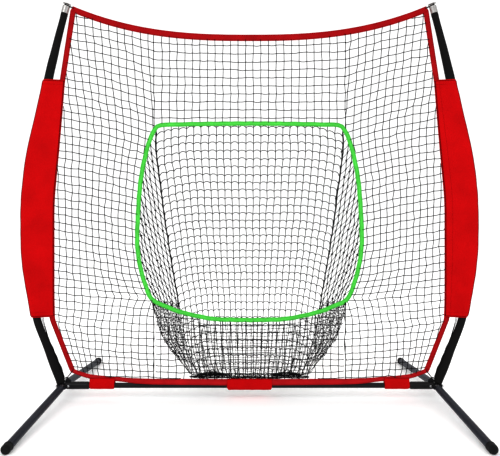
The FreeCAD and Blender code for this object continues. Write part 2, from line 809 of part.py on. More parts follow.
def inside_sides(inset, thickness):
    """Everything between the net's two side edges, moved in by inset; taller than the net."""
    first = NET_SIDE.point(0) - NET_SIDE.tangent(0) * OVERSHOOT
    last = NET_SIDE.point(NET_SIDE.length) + NET_SIDE.tangent(NET_SIDE.length) * OVERSHOOT
    edges = [Part.LineSegment(first, NET_SIDE.point(0)).toShape()]
    edges += NET_SIDE.wire(0, NET_SIDE.length).Edges
    edges.append(Part.LineSegment(NET_SIDE.point(NET_SIDE.length), last).toShape())
    right = Part.Wire(edges)
    right.translate(V(-inset, 0, 0))
    left = right.mirror(V(0, 0, 0), V(1, 0, 0))
    top = Part.LineSegment(V(inset - first.x, 0, first.z), V(first.x - inset, 0, first.z)).toShape()
    bottom = Part.LineSegment(V(inset - last.x, 0, last.z), V(last.x - inset, 0, last.z)).toShape()
    wire = Part.Wire(Part.__sortEdges__(right.Edges + left.Edges + [top, bottom]))
    face = Part.Face(wire)
    face.translate(V(0, -thickness / 2, 0))
    return face.extrude(V(0, thickness, 0))


def corner_hole(x, z):
    return Part.makeCylinder(CORNER_HOLE_R, 20.0, V(x, -10.0, z), V(0, 1, 0))


def bindings():
    """The red webbing round the net, as four strips that meet at the corners."""
    reach = EDGE_REACH
    t = BINDING_T
    sides = inside_sides(0.0, OVERSHOOT)
    top = band_between(edge_curve(top_z, reach, -BINDING_TOP_W), edge_curve(top_z, reach), t).common(sides)
    low = band_between(edge_curve(low_z, reach, 0.0, lean_y), edge_curve(low_top_z, reach), t).common(sides)
    middle_low = edge_curve(low_top_z, reach, SEAM_GAP)
    middle_top = edge_curve(top_z, reach, -BINDING_TOP_W - SEAM_GAP)
    middle = band_between(middle_low, middle_top, t).common(sides)
    strips = middle.cut(inside_sides(BINDING_SIDE_W, OVERSHOOT))
    for side in (-1, 1):
        top = top.cut(corner_hole(side * TOP_HOLE[0], TOP_HOLE[1]))
        low = low.cut(corner_hole(side * LOW_HOLE[0], LOW_HOLE[1]))
    left, right = sorted(strips.Solids, key=lambda s: s.CenterOfMass.x)
    return {"top": top.Solids[0], "bottom": low.Solids[0], "left": left, "right": right}


# ---------------------------------------------------------------- strike zone and netting
def rim_loop(offset):
    """The rim's closed outline, moved outwards by offset along its normals."""
    right = [V(x, 0, z) for x, z in RIM_HALF]
    left = [V(-p.x, 0, p.z) for p in reversed(right[1:-1])]
    points = smooth_points(right + left, 4, closed=True)
    moved = []
    for i, point in enumerate(points):
        tangent = (points[(i + 1) % len(points)] - points[i - 1]).normalize()
        outwards = V(-tangent.z, 0, tangent.x)
        moved.append(point + outwards * offset)
    curve = Part.BSplineCurve()
    curve.interpolate(moved, PeriodicFlag=True)
    return Part.Wire(curve.toShape())


def rim_plate(offset, thickness):
    face = Part.Face(rim_loop(offset))
    face.translate(V(0, -thickness / 2, 0))
    return face.extrude(V(0, thickness, 0))


def strike_zone_rim():
    return rim_plate(RIM_HALF_W, RIM_T).cut(rim_plate(-RIM_HALF_W, RIM_T))


def net_panels():
    """The netting round the strike zone, in four panels split at the rim's corner creases."""
    reach = EDGE_REACH
    t = NET_T
    low = edge_curve(low_top_z, reach, SEAM_GAP)
    top = edge_curve(top_z, reach, -BINDING_TOP_W - SEAM_GAP)
    whole = band_between(low, top, t).common(inside_sides(BINDING_SIDE_W + SEAM_GAP, OVERSHOOT))
    whole = whole.cut(rim_plate(RIM_HALF_W + SEAM_GAP, 2 * t))
    half_gap = SEAM_GAP / 2
    cells = {
        "left": box(-BEYOND_X, -NET_SPLIT_X - half_gap, -t, t, 0, BEYOND_Z),
        "right": box(NET_SPLIT_X + half_gap, BEYOND_X, -t, t, 0, BEYOND_Z),
        "top": box(-NET_SPLIT_X + half_gap, NET_SPLIT_X - half_gap, -t, t, NET_SPLIT_Z, BEYOND_Z),
        "bottom": box(-NET_SPLIT_X + half_gap, NET_SPLIT_X - half_gap, -t, t, 0, NET_SPLIT_Z),
    }
    return {name: largest(whole.common(cell)) for name, cell in cells.items()}


def largest(shape):
    return max(shape.Solids, key=lambda solid: solid.Volume)


# ---------------------------------------------------------------- catch pocket
def row_points(row, half_steps=5):
    """Points across a pocket panel, from left edge to right, bowed between its centre and its edges."""
    (y_mid, z_mid), (x_edge, y_edge, z_edge) = row
    points = []
    for i in range(-half_steps, half_steps + 1):
        u = i / half_steps
        ease = abs(u) ** POCKET_BOW
        points.append(V(x_edge * u, y_mid + (y_edge - y_mid) * ease, z_mid + (z_edge - z_mid) * ease))
    return points


def panel(rows, thickness):
    """A thin closed panel: a smooth surface through rows of points, thickened along one direction."""
    columns = [smooth_points(list(column), 3) for column in zip(*rows)]
    surface = Part.BSplineSurface()
    surface.interpolate([list(row) for row in zip(*columns)])
    return surface.toShape().extrude(thickness)


def pocket_back():
    skew = math.radians(POCKET_SKEW)
    rows = [row_points(row) for row in POCKET_BACK]
    return panel(rows, V(0, POCKET_T * math.cos(skew), POCKET_T * math.sin(skew)))


def pocket_front():
    return panel([row_points(row) for row in POCKET_FRONT], V(0, NET_T, 0))


def pocket_side(side):
    """The wall from the rim back to the edge of the back panel, a little proud of that edge."""
    rows = []
    for corner, (_, crease) in zip(POCKET_CORNER, POCKET_BACK):
        start = V(*corner)
        end = V(*crease) + V(1.2, 0, 0)
        rows.append([start, (start + end) * 0.5 + V(SIDE_PANEL_BULGE, 0, 0), end])
    return mirrored(panel(rows, V(NET_T * 1.3, 0, 0)), side)


# ---------------------------------------------------------------- side sleeves, tabs and elastics
def teardrop(z, inset):
    """A level section of the side sleeve: an arc round the pole, an arc at the net edge, two tangents."""
    pole_x = POLE.x_at(z)
    net_x = NET_SIDE.x_at(z) + SLEEVE_EDGE_R + 0.9
    big = SLEEVE_R - inset
    small = SLEEVE_EDGE_R - inset
    span = pole_x - net_x
    lean = math.asin((big - small) / span)
    sin_l, cos_l = math.sin(lean), math.cos(lean)
    big_a = V(pole_x - big * sin_l, big * cos_l, z)
    big_b = V(pole_x - big * sin_l, -big * cos_l, z)
    small_a = V(net_x - small * sin_l, small * cos_l, z)
    small_b = V(net_x - small * sin_l, -small * cos_l, z)
    edges = [
        Part.Arc(big_b, V(pole_x + big, 0, z), big_a).toShape(),
        Part.LineSegment(big_a, small_a).toShape(),
        Part.Arc(small_a, V(net_x - small, 0, z), small_b).toShape(),
        Part.LineSegment(small_b, big_b).toShape(),
    ]
    return Part.Wire(edges)


def side_sleeve(side):
    heights = []
    for i in range(SLEEVE_STATIONS):
        heights.append(SLEEVE_BOTTOM_Z + (SLEEVE_TOP_Z - SLEEVE_BOTTOM_Z) * i / (SLEEVE_STATIONS - 1))
    outer = Part.makeLoft([teardrop(z, 0.0) for z in heights], True, False)
    inner = Part.makeLoft([teardrop(z, SLEEVE_WALL) for z in heights], True, False)
    return mirrored(outer.cut(inner), side)


def strap_profile(radius, y, z, tip_r, top_z):
    """A teardrop in the YZ plane: an arc round the bar, a small arc at the top, and two tangents."""
    rise = top_z - z
    lean = math.asin((radius - tip_r) / math.hypot(rise, y))
    tilt = math.atan2(-y, rise)
    edges = []
    ends = []
    for sign in (-1, 1):
        angle = sign * (math.pi / 2 - lean) + tilt
        toward = V(0, math.sin(angle), math.cos(angle))
        ends.append((V(0, y, z) + toward * radius, V(0, 0, top_z) + toward * tip_r))
    (front_low, front_top), (back_low, back_top) = ends
    down = V(0, -math.sin(tilt), -math.cos(tilt))
    edges.append(Part.Arc(front_low, V(0, y, z) + down * radius, back_low).toShape())
    edges.append(Part.LineSegment(back_low, back_top).toShape())
    edges.append(Part.Arc(back_top, V(0, 0, top_z) - down * tip_r, front_top).toShape())
    edges.append(Part.LineSegment(front_top, front_low).toShape())
    return Part.Face(Part.Wire(edges))


def bottom_tab(x_mid, half_width, radius, y, z, top_z):
    """A tab: a strap round the bar, with its two ends against the front and back of the binding."""
    length = V(2 * half_width, 0, 0)
    outer = strap_profile(radius + TAB_T, y, z, TAB_TIP_R + TAB_T, top_z).extrude(length)
    inner = strap_profile(radius, y, z, TAB_TIP_R, top_z).extrude(length)
    gap = BINDING_T / 2 + 0.3
    slot = box(-1.0, 2 * half_width + 1.0, -gap, gap, z + radius, top_z + 20.0)
    body = outer.cut(inner).cut(slot)
    body.translate(V(x_mid - half_width, 0, 0))
    return body


def elastic_loop(far_hole, far_r, near_hole, near_r, far_is_post):
    """A closed loop through two holes, in the plane that holds both and the Y direction.

    Each end turns round with its own radius. The loop crosses the holes' plane at the holes; at a post
    the far point is the post's centre instead.
    """
    along = (far_hole - near_hole).normalize()
    far = far_hole if far_is_post else far_hole - along * far_r
    near = near_hole + along * near_r
    span = (far - near).Length
    across = V(0, 1, 0)
    lean = math.asin((far_r - near_r) / span)
    sin_l, cos_l = math.sin(lean), math.cos(lean)
    ends = []
    for centre, radius in ((far, far_r), (near, near_r)):
        back = along * (-radius * sin_l)
        ends.append((centre + back + across * (radius * cos_l), centre + back - across * (radius * cos_l)))
    (far_a, far_b), (near_a, near_b) = ends
    edges = [
        Part.LineSegment(near_a, far_a).toShape(),
        Part.Arc(far_a, far + along * far_r, far_b).toShape(),
        Part.LineSegment(far_b, near_b).toShape(),
        Part.Arc(near_b, near - along * near_r, near_a).toShape(),
    ]
    path = Part.Wire(edges)
    profile = Part.Wire(Part.makeCircle(ELASTIC_R, near_a, (far_a - near_a).normalize()))
    shell = path.makePipeShell([profile], True, True)
    return shell.Solids[0] if shell.Solids else shell


def corner_elastics():
    post = tip_neck_centre()
    post_r = TIP_NECK_R + ELASTIC_R + 0.3
    top_hole = V(TOP_HOLE[0], 0, TOP_HOLE[1])
    lug_hole = V(LUG_HOLE[0], 0, LUG_HOLE[1])
    low_hole = V(LOW_HOLE[0], 0, LOW_HOLE[1])
    pieces = []
    for _, side in SIDES:
        pieces.append(mirrored(elastic_loop(post, post_r, top_hole, ELASTIC_EYE_R, True), side))
        pieces.append(mirrored(elastic_loop(lug_hole, ELASTIC_EYE_R, low_hole, ELASTIC_EYE_R, False), side))
    return pieces


# ---------------------------------------------------------------- write every node
def main():
    save("bar_coupling", bar_coupling())
    end_rivets = [mirrored(rivet(END_RIVET_X, REAR, END_R), side) for _, side in SIDES]
    save("frame_rivets", *end_rivets, rivet(COUPLING_RIVET_X, UP, BAR_R))
    bar_centre = V(COUPLING_BUTTON_X, 0, BAR_Z)
    save("coupling_button", button(bar_centre, V(0, 1, 0), BAR_R, COUPLING_R - COUPLING_WALL))
    springs = [leaf_spring(bar_centre, V(1, 0, 0), V(0, 1, 0), 2.0)]
    for name, side in SIDES:
        save("bar_half_" + name, bar_half(side))
        save("bar_end_" + name, bar_end(side))
        save("end_bracket_" + name, end_bracket(side))
        save("net_hook_" + name, net_hook(side))
        save("hinge_bolts_" + name, *hinge_bolts(side))
        for end_name, end in ENDS:
            save("leg_%s_%s" % (end_name, name), leg(side, end))
            save("leg_cap_%s_%s" % (end_name, name), leg_cap(side, end))
        half_gap = POLE_JOINT_GAP / 2
        first, second = POLE_JOINTS_S
        save("pole_lower_" + name, pole_section(side, POLE_BOTTOM_S, first - half_gap))
        save("pole_middle_" + name, pole_section(side, first + half_gap, second - half_gap))
        save("pole_upper_" + name, pole_section(side, second + half_gap, POLE_TOP_S))
        save("pole_ferrules_" + name, *ferrules(side))
        save("shock_cord_" + name, shock_cord(side))
        save("pole_socket_" + name, pole_socket(side))
        save("pole_sleeve_" + name, pole_sleeve(side))
        save("pole_tip_" + name, pole_tip(side))
        centre, axis = socket_button_axis()
        save("socket_button_" + name, mirrored(button(centre, axis, SOCKET_R, POLE_R - POLE_WALL), side))
        springs.append(mirrored(leaf_spring(centre, POLE.tangent(SOCKET_BUTTON_S), axis, 3.0), side))
        save("side_sleeve_" + name, side_sleeve(side))
        save("pocket_" + name, pocket_side(side))
    save("button_springs", *springs)
    for name, strip in bindings().items():
        save("binding_" + name, strip)
    for name, netting in net_panels().items():
        save("net_" + name, netting)
    save("strike_zone_rim", strike_zone_rim())
    save("pocket_back", pocket_back())
    save("pocket_front", pocket_front())
    for name, x_mid, half_width, radius, y, z, top in TABS:
        save("bottom_tab_" + name, bottom_tab(x_mid, half_width, radius, y, z, top))
    save("corner_elastics", *corner_elastics())


main()
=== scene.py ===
"""Looks of the pitching target net, built round its CAD frame. Metres, in the CAD frame.

Every place comes from the frame: the outlines of the net, the run of the poles and the shape of the
pocket are read from the CAD nodes, and the netting, fabric and tape are laid on them.
"""

import math

import bpy
import numpy as np
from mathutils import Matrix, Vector
from mathutils.bvhtree import BVHTree


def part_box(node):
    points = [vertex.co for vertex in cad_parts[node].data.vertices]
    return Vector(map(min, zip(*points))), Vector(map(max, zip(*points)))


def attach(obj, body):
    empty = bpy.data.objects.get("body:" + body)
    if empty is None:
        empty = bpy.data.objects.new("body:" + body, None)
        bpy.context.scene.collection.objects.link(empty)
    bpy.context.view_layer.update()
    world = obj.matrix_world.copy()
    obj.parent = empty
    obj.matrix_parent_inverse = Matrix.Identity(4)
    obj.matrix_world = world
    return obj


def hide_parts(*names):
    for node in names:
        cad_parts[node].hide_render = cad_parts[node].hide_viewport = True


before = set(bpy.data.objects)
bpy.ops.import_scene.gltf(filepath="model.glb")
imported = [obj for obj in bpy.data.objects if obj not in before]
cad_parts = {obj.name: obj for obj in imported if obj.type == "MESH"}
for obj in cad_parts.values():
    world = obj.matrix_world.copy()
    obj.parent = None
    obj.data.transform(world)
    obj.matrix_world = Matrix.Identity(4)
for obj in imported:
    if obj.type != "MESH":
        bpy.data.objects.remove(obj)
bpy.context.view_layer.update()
rng = np.random.default_rng(7)

SIDES = (("left", -1), ("right", 1))
WORLD_Y = np.array((0.0, 1.0, 0.0))

# ---- camera, light and floor
CAMERA_DISTANCE = 3.4
CAMERA_HEIGHT = 1.0195
CAMERA_LENS = 43.6
CAMERA_SHIFT = (0.001, -0.0226)
FLOOR_HALF = 40.0
WORLD_STRENGTH = 1.12
DISPLAY_GAMMA = 0.7
FLOOR_GLOW = 0.12
SENSOR_WIDTH = 36.0
LIGHT_SIZE = 3.0
# Each light's place, the height on the object's axis that it is aimed at, and its power
LIGHTS = {
    "key": ((-2.6, -4.2, 4.2), 1.0, 60.0),
    "fill": ((3.6, -3.6, 2.2), 0.9, 20.0),
    "back": ((0.6, 4.5, 3.6), 1.0, 30.0),
}


def make_camera():
    data = bpy.data.cameras.new("camera")
    data.lens = CAMERA_LENS
    data.sensor_width = SENSOR_WIDTH
    data.shift_x, data.shift_y = CAMERA_SHIFT
    camera = bpy.data.objects.new("camera", data)
    camera.location = (0.0, -CAMERA_DISTANCE, CAMERA_HEIGHT)
    camera.rotation_euler = (math.pi / 2, 0.0, 0.0)
    bpy.context.scene.collection.objects.link(camera)
    bpy.context.scene.camera = camera


def area_light(name, place, aim_z, power):
    data = bpy.data.lights.new(name, "AREA")
    data.shape = "DISK"
    data.size = LIGHT_SIZE
    data.energy = power
    light = bpy.data.objects.new(name, data)
    light.location = place
    light.rotation_euler = (Vector((0.0, 0.0, aim_z)) - Vector(place)).to_track_quat("-Z", "Y").to_euler()
    bpy.context.scene.collection.objects.link(light)


def make_studio():
    scene = bpy.context.scene
    scene.view_settings.view_transform = "Standard"
    scene.view_settings.gamma = DISPLAY_GAMMA
    world = bpy.data.worlds.new("studio")
    scene.world = world
    world.use_nodes = True
    background = world.node_tree.nodes["Background"]
    background.inputs["Color"].default_value = (1.0, 1.0, 1.0, 1.0)
    background.inputs["Strength"].default_value = WORLD_STRENGTH
    for name, values in LIGHTS.items():
        area_light(name, *values)
    corners = [(-1, -1), (1, -1), (1, 1), (-1, 1)]
    mesh = bpy.data.meshes.new("floor")
    mesh.from_pydata([(x * FLOOR_HALF, y * FLOOR_HALF, 0.0) for x, y in corners], [], [(0, 1, 2, 3)])
    floor = bpy.data.objects.new("floor", mesh)
    scene.collection.objects.link(floor)
    paint = Shader("floor_paint", (0.93, 0.93, 0.93), 0.9, 0.1)
    paint.set("Emission Color", (1.0, 1.0, 1.0, 1.0))
    paint.set("Emission Strength", FLOOR_GLOW)
    floor.data.materials.append(paint.material)


# ---- materials
class Shader:
    """A Principled material and short ways to add procedural detail to it."""

    def __init__(self, name, colour, roughness, specular=0.5, metallic=0.0):
        self.material = bpy.data.materials.new(name)
        self.material.use_nodes = True
        self.tree = self.material.node_tree
        self.principled = self.tree.nodes["Principled BSDF"]
        self.set("Base Color", (*colour, 1.0))
        self.set("Specular IOR Level", specular)
        self.set("Roughness", roughness)
        self.set("Metallic", metallic)

    def set(self, socket, value):
        self.principled.inputs[socket].default_value = value

    def node(self, kind, **values):
        made = self.tree.nodes.new(kind)
        for key, value in values.items():
            if key in made.inputs:
                made.inputs[key].default_value = value
            else:
                setattr(made, key, value)
        return made

    def link(self, source, target):
        self.tree.links.new(source, target)

    def place(self, space):
        return self.node("ShaderNodeTexCoord").outputs[space]

    def texture(self, kind, space, **values):
        made = self.node(kind, **values)
        self.link(self.place(space), made.inputs["Vector"])
        return made.outputs["Fac"]

    def noise(self, scale, detail=4.0):
        return self.texture("ShaderNodeTexNoise", "Object", Scale=scale, Detail=detail)

    def waves(self, scale, direction):
        return self.texture("ShaderNodeTexWave", "UV", Scale=scale, bands_direction=direction)

    def math(self, operation, first, second=0.0):
        made = self.node("ShaderNodeMath", operation=operation)
        for socket, value in zip(made.inputs, (first, second)):
            if isinstance(value, (int, float)):
                socket.default_value = value
            else:
                self.link(value, socket)
        return made.outputs[0]

    def ramp(self, fac, low, high, colours):
        """A colour ramp from low to high of fac, between two colours."""
        made = self.node("ShaderNodeValToRGB")
        ends = made.color_ramp.elements
        ends[0].position, ends[1].position = low, high
        ends[0].color, ends[1].color = [(*colour, 1.0) for colour in colours]
        self.link(fac, made.inputs["Fac"])
        return made.outputs["Color"]

    def tint(self, colour_socket):
        self.link(colour_socket, self.principled.inputs["Base Color"])

    def rough(self, fac, low, high):
        made = self.node("ShaderNodeMapRange")
        made.inputs["To Min"].default_value = low
        made.inputs["To Max"].default_value = high
        self.link(fac, made.inputs["Value"])
        self.link(made.outputs["Result"], self.principled.inputs["Roughness"])

    def bump(self, height, strength, distance):
        made = self.node("ShaderNodeBump", Strength=strength, Distance=distance)
        self.link(height, made.inputs["Height"])
        previous = self.principled.inputs["Normal"]
        if previous.is_linked:
            self.link(previous.links[0].from_socket, made.inputs["Normal"])
        self.link(made.outputs["Normal"], self.principled.inputs["Normal"])


def scaled(colour, factor):
    return tuple(min(1.0, channel * factor) for channel in colour)


CLOTH_SPECULAR = 0.08
SHADE = 0.8


def woven(name, colour, threads_per_metre):
    """Plain-weave cloth: two crossed sets of threads and soft blotches."""
    shader = Shader(name, colour, 0.85, CLOTH_SPECULAR)
    weave = shader.math("MULTIPLY", *[shader.waves(threads_per_metre * 0.05, way) for way in "XY"])
    blotch = shader.math("MULTIPLY", shader.noise(9.0), 0.75)
    mottle = shader.math("MULTIPLY", shader.noise(260.0, 2.0), 0.35)
    level = shader.math("ADD", blotch, mottle)
    shader.tint(shader.ramp(level, 0.3, 0.75, (scaled(colour, SHADE), colour)))
    shader.bump(weave, 0.35, 0.0004)
    shader.bump(shader.noise(38.0), 0.25, 0.002)
    return shader


def tape(name, colour):
    """Woven binding tape: cross ribs, laid along the tape's own length."""
    shader = Shader(name, colour, 0.7, CLOTH_SPECULAR)
    ribs = shader.math("ADD", shader.waves(160.0, "X"), shader.waves(260.0, "Y"))
    shader.tint(shader.ramp(shader.noise(14.0), 0.3, 0.7, (scaled(colour, SHADE), colour)))
    shader.bump(ribs, 0.35, 0.0004)
    return shader


def twisted(name, colour, strands_per_metre):
    """Laid twine: bands that wind round the cord, with painted shade in the grooves and painted light on the
    crowns.
    """
    shader = Shader(name, colour, 0.55, CLOTH_SPECULAR)
    split = shader.node("ShaderNodeSeparateXYZ")
    shader.link(shader.place("UV"), split.inputs[0])
    along = shader.math("MULTIPLY", split.outputs["X"], strands_per_metre)
    turn = shader.math("ADD", along, shader.math("MULTIPLY", split.outputs["Y"], 2.0))
    lay = shader.math("PINGPONG", turn, 0.5)
    groove = shader.math("MULTIPLY", lay, 2.0)
    # Painted shade and light: the colour falls to half in the grooves and rises on the crowns of the twist
    shader.tint(shader.ramp(groove, 0.1, 0.7, (scaled(colour, 0.5), scaled(colour, 1.5))))
    shader.bump(groove, 0.6, 0.0006)
    return shader


def enamel(name, colour, roughness, coat=0.0):
    """Powder coat: a fine orange-peel surface with faint rubbed patches."""
    shader = Shader(name, colour, roughness, 0.22)
    shader.tint(shader.ramp(shader.noise(7.0, 6.0), 0.45, 0.8, (colour, scaled(colour, 1.5))))
    shader.rough(shader.noise(60.0), roughness - 0.06, roughness + 0.1)
    shader.bump(shader.noise(900.0, 2.0), 0.12, 0.0003)
    shader.set("Coat Weight", coat)
    shader.set("Coat Roughness", 0.3)
    return shader


def bare_metal(name, colour, roughness):
    """Plated or turned metal: fine brushing and small dull spots."""
    shader = Shader(name, colour, roughness, metallic=1.0)
    shader.tint(shader.ramp(shader.noise(120.0), 0.35, 0.65, (scaled(colour, SHADE), colour)))
    shader.rough(shader.noise(400.0, 2.0), roughness - 0.05, roughness + 0.12)
    shader.bump(shader.noise(1500.0, 1.0), 0.1, 0.0002)
    return shader


def moulded(name, colour, roughness, grain=700.0):
    """Moulded rubber or plastic with a fine grain and dusty high spots."""
    shader = Shader(name, colour, roughness, 0.2)
    shader.tint(shader.ramp(shader.noise(22.0), 0.5, 0.85, (colour, scaled(colour, 2.2))))
    shader.bump(shader.noise(grain, 3.0), 0.25, 0.0004)
    shader.rough(shader.noise(90.0), roughness - 0.08, roughness + 0.08)
    return shader


RED = (0.585, 0.005, 0.008)
TAPE_RED = (0.435, 0.010, 0.0145)
LOW_TAPE_RED = (0.53, 0.019, 0.026)
BLACK_CLOTH = (0.020, 0.0195, 0.0195)
GREEN = (0.13, 0.68, 0.115)
TWINE = (0.012, 0.012, 0.013)
THREAD_RED = (0.36, 0.002, 0.004)
THREAD_GREEN = (0.04, 0.36, 0.04)

BAR_ENAMEL = enamel("bar_enamel", (0.012, 0.011, 0.0125), 0.34, coat=0.12)
LEG_ENAMEL = enamel("leg_enamel", (0.017, 0.020, 0.031), 0.42)
BRACKET_ENAMEL = enamel("bracket_enamel", (0.013, 0.013, 0.015), 0.4)
STEEL = bare_metal("bright_steel", (0.5, 0.5, 0.52), 0.3)
ALUMINIUM = bare_metal("tip_metal", (0.48, 0.47, 0.46), 0.34)
RUBBER = moulded("cap_rubber", (0.011, 0.011, 0.012), 0.62)
FIBREGLASS = moulded("fibreglass", (0.02, 0.02, 0.02), 0.35, grain=250.0)
RED_CLOTH = woven("red_cloth", RED, 1400.0)
BLACK_WOVEN = woven("black_cloth", BLACK_CLOTH, 1400.0)
RED_TAPE = tape("red_tape", TAPE_RED)
BRIGHT_TAPE = tape("bright_red_tape", LOW_TAPE_RED)
GREEN_TAPE = tape("green_tape", GREEN)
TWINE_BLACK = twisted("black_twine", TWINE, 160.0)
ELASTIC = twisted("elastic_braid", (0.016, 0.016, 0.017), 260.0)
RED_THREAD = twisted("red_thread", THREAD_RED, 900.0)
# Darker red for the tubes that paint shade along the side sleeves' edges
RED_EDGE_SHADE = woven("red_edge_shade", scaled(RED, 0.36), 900.0)
GREEN_THREAD = twisted("green_thread", THREAD_GREEN, 900.0)
BLACK_THREAD = twisted("black_thread", scaled(BLACK_CLOTH, 1.6), 900.0)

# Each material and the starts of the names that it is for; the first that matches wins
NODE_FINISHES = (
    (BAR_ENAMEL, ("bar_half", "bar_end")),
    (BRACKET_ENAMEL, ("end_bracket", "pole_socket")),
    (RUBBER, ("leg_cap",)),
    (LEG_ENAMEL, ("leg_",)),
    (FIBREGLASS, ("pole_lower", "pole_middle", "pole_upper")),
    (ALUMINIUM, ("pole_tip",)),
    (ELASTIC, ("shock_cord",)),
    (STEEL, ("bar_coupling", "net_hook", "hinge_bolts", "frame_rivets", "pole_ferrules", "coupling_button",
             "socket_button", "button_springs")),
)


def finish_cad_nodes():
    """Give every node that stays in view its material."""
    for node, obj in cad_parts.items():
        for shader, starts in NODE_FINISHES:
            if node.startswith(starts):
                obj.data.materials.clear()
                obj.data.materials.append(shader.material)
                break


# ---- reading shapes from the frame
class Outline:
    """A CAD node's mesh, cut by planes or probed by rays to find where its surfaces are."""

    def __init__(self, node):
        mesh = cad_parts[node].data
        self.points = np.array([v.co for v in mesh.vertices])
        self.edges = np.array([e.vertices for e in mesh.edges])
        polygons = [tuple(p.vertices) for p in mesh.polygons]
        self.tree = BVHTree.FromPolygons([Vector(p) for p in self.points], polygons)

    def cut(self, axis, value):
        """Points where the mesh's edges cross the plane axis = value."""
        first = self.points[self.edges[:, 0]]
        second = self.points[self.edges[:, 1]]
        a = first[:, axis] - value
        b = second[:, axis] - value
        crossing = (a * b) < 0
        share = (a[crossing] / (a[crossing] - b[crossing]))[:, None]
        return first[crossing] * (1 - share) + second[crossing] * share

    def depth(self, x, z):
        """The y of the front surface at this x and z, or None beside the node."""
        hit = self.tree.ray_cast(Vector((x, -1.0, z)), Vector((0.0, 1.0, 0.0)))[0]
        return None if hit is None else hit.y


OUTLINES = {}


def outline(node):
    if node not in OUTLINES:
        OUTLINES[node] = Outline(node)
    return OUTLINES[node]


POLE_END = 0.016


def pole_centre(side_name, heights):
    """The pole's centre line: the middle of its sleeve at each height, carried on at the two ends."""
    low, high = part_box("pole_sleeve_" + side_name)
    levels = np.linspace(low.z + POLE_END, high.z - POLE_END, 90)
    rings = [outline("pole_sleeve_" + side_name).cut(2, level)[:, 0] for level in levels]
    centres = np.array([(ring.min() + ring.max()) / 2 for ring in rings])
    x = np.interp(heights, levels, centres)
    for end, inner in ((0, 3), (-1, -4)):
        slope = (centres[end] - centres[inner]) / (levels[end] - levels[inner])
        beyond = heights < levels[0] if end == 0 else heights > levels[-1]
        x = np.where(beyond, centres[end] + slope * (heights - levels[end]), x)
    return np.stack([x, np.zeros_like(x), heights], axis=1)


# ---- mesh making
def unit(vectors):
    return vectors / np.maximum(np.linalg.norm(vectors, axis=-1, keepdims=True), 1e-12)


def distances(line):
    """How far each point of a line is along it."""
    return np.concatenate([[0.0], np.cumsum(np.linalg.norm(np.diff(line, axis=0), axis=1))])


def looped(line):
    """The line with its first point again at its end."""
    return np.concatenate([line, line[:1]])


def carried_on(line, length, span=1):
    """The line with a point more at each end, further on the way that its last span goes."""
    first = line[0] + unit(line[0] - line[span]) * length
    last = line[-1] + unit(line[-1] - line[-1 - span]) * length
    return np.concatenate([[first], line, [last]])


def angles_round(count):
    return np.arange(count) * 2 * math.pi / count


class MeshParts:
    """Collects the tubes, blobs and skins that make one piece."""

    def __init__(self):
        self.points = []
        self.faces = []
        self.uvs = []
        self.count = 0

    def add(self, points, faces, uvs):
        self.points.append(np.asarray(points, float))
        self.faces.extend([tuple(int(i) + self.count for i in face) for face in faces])
        self.uvs.extend(uvs)
        self.count += len(points)

    def lattice(self, rings, along, across, closed=False, caps=True):
        """Quads between rings of points; along and across are the UVs of the rings and of their points."""
        stations, around = rings.shape[:2]
        faces, uvs = [], []
        for i in range(stations if closed else stations - 1):
            a, b = i * around, (i + 1) % stations * around
            for j in range(around):
                k = (j + 1) % around
                faces.append((a + j, a + k, b + k, b + j))
                u0, u1, v0, v1 = along[i], along[i + 1], across[j], across[j + 1]
                uvs.extend(((u0, v0), (u0, v1), (u1, v1), (u1, v0)))
        if caps:
            last = (stations - 1) * around
            faces += [tuple(reversed(range(around))), tuple(range(last, last + around))]
            uvs.extend([(0.0, 0.0)] * (2 * around))
        self.add(rings.reshape(-1, 3), faces, uvs)

    def tube(self, line, radius, sides=6, closed=False):
        """A round cord along a line of points."""
        line = np.asarray(line, float)
        if closed:
            tangents = unit(np.roll(line, -1, axis=0) - np.roll(line, 1, axis=0))
        else:
            tangents = unit(np.gradient(line, axis=0))
        reference = np.eye(3)[np.argmin(np.abs(tangents).max(axis=0))]
        across = unit(np.cross(tangents, reference))
        up = np.cross(across, tangents)
        angles = angles_round(sides)[None, :, None]
        rings = line[:, None] + (across[:, None] * np.cos(angles) + up[:, None] * np.sin(angles)) * radius
        self.lattice(rings, distances(looped(line)), np.arange(sides + 1) / sides, closed, not closed)

    def blob(self, centre, size, turn):
        """A small rounded knot: an icosahedron stretched to size and turned about Y."""
        cos, sin = math.cos(turn), math.sin(turn)
        shape = ICO_POINTS * size
        turned = np.stack([
            shape[:, 0] * cos + shape[:, 2] * sin,
            shape[:, 1],
            shape[:, 2] * cos - shape[:, 0] * sin,
        ], axis=1)
        self.add(turned + centre, ICO_FACES, [(0.0, 0.2), (0.001, 0.5), (0.002, 0.8)] * len(ICO_FACES))

    def skin(self, rings, caps=True):
        """A surface through closed rings of points, one ring per station."""
        rings = np.asarray(rings, float)
        girth = distances(looped(rings[len(rings) // 2]))
        self.lattice(rings, distances(rings.mean(axis=1)), girth, caps=caps)

    def shell(self, outer, inner):
        """A hollow tube of cloth: an outer and an inner skin joined round both ends."""
        outer, inner = np.asarray(outer), np.asarray(inner)
        along = distances(outer.mean(axis=1))
        along = np.concatenate([along, along[::-1], [0.0]])
        girth = distances(looped(outer[len(outer) // 2]))
        self.lattice(np.concatenate([outer, inner[::-1]]), along, girth, closed=True, caps=False)

    def build(self, name, shader, slot, *nodes):
        """The finished object: it rides on the root body and takes the place of the CAD nodes named."""
        mesh = bpy.data.meshes.new(name)
        mesh.from_pydata([tuple(p) for p in np.concatenate(self.points)], [], self.faces)
        uvs = np.asarray(self.uvs, np.float32).ravel()
        mesh.uv_layers.new(name="length").data.foreach_set("uv", uvs)
        mesh.polygons.foreach_set("use_smooth", [True] * len(mesh.polygons))
        mesh.materials.append(shader.material)
        mesh.validate()
        mesh.update()
        piece = bpy.data.objects.new(name, mesh)
        bpy.context.scene.collection.objects.link(piece)
        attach(piece, "root")
        if nodes:
            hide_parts(*nodes)
        return piece


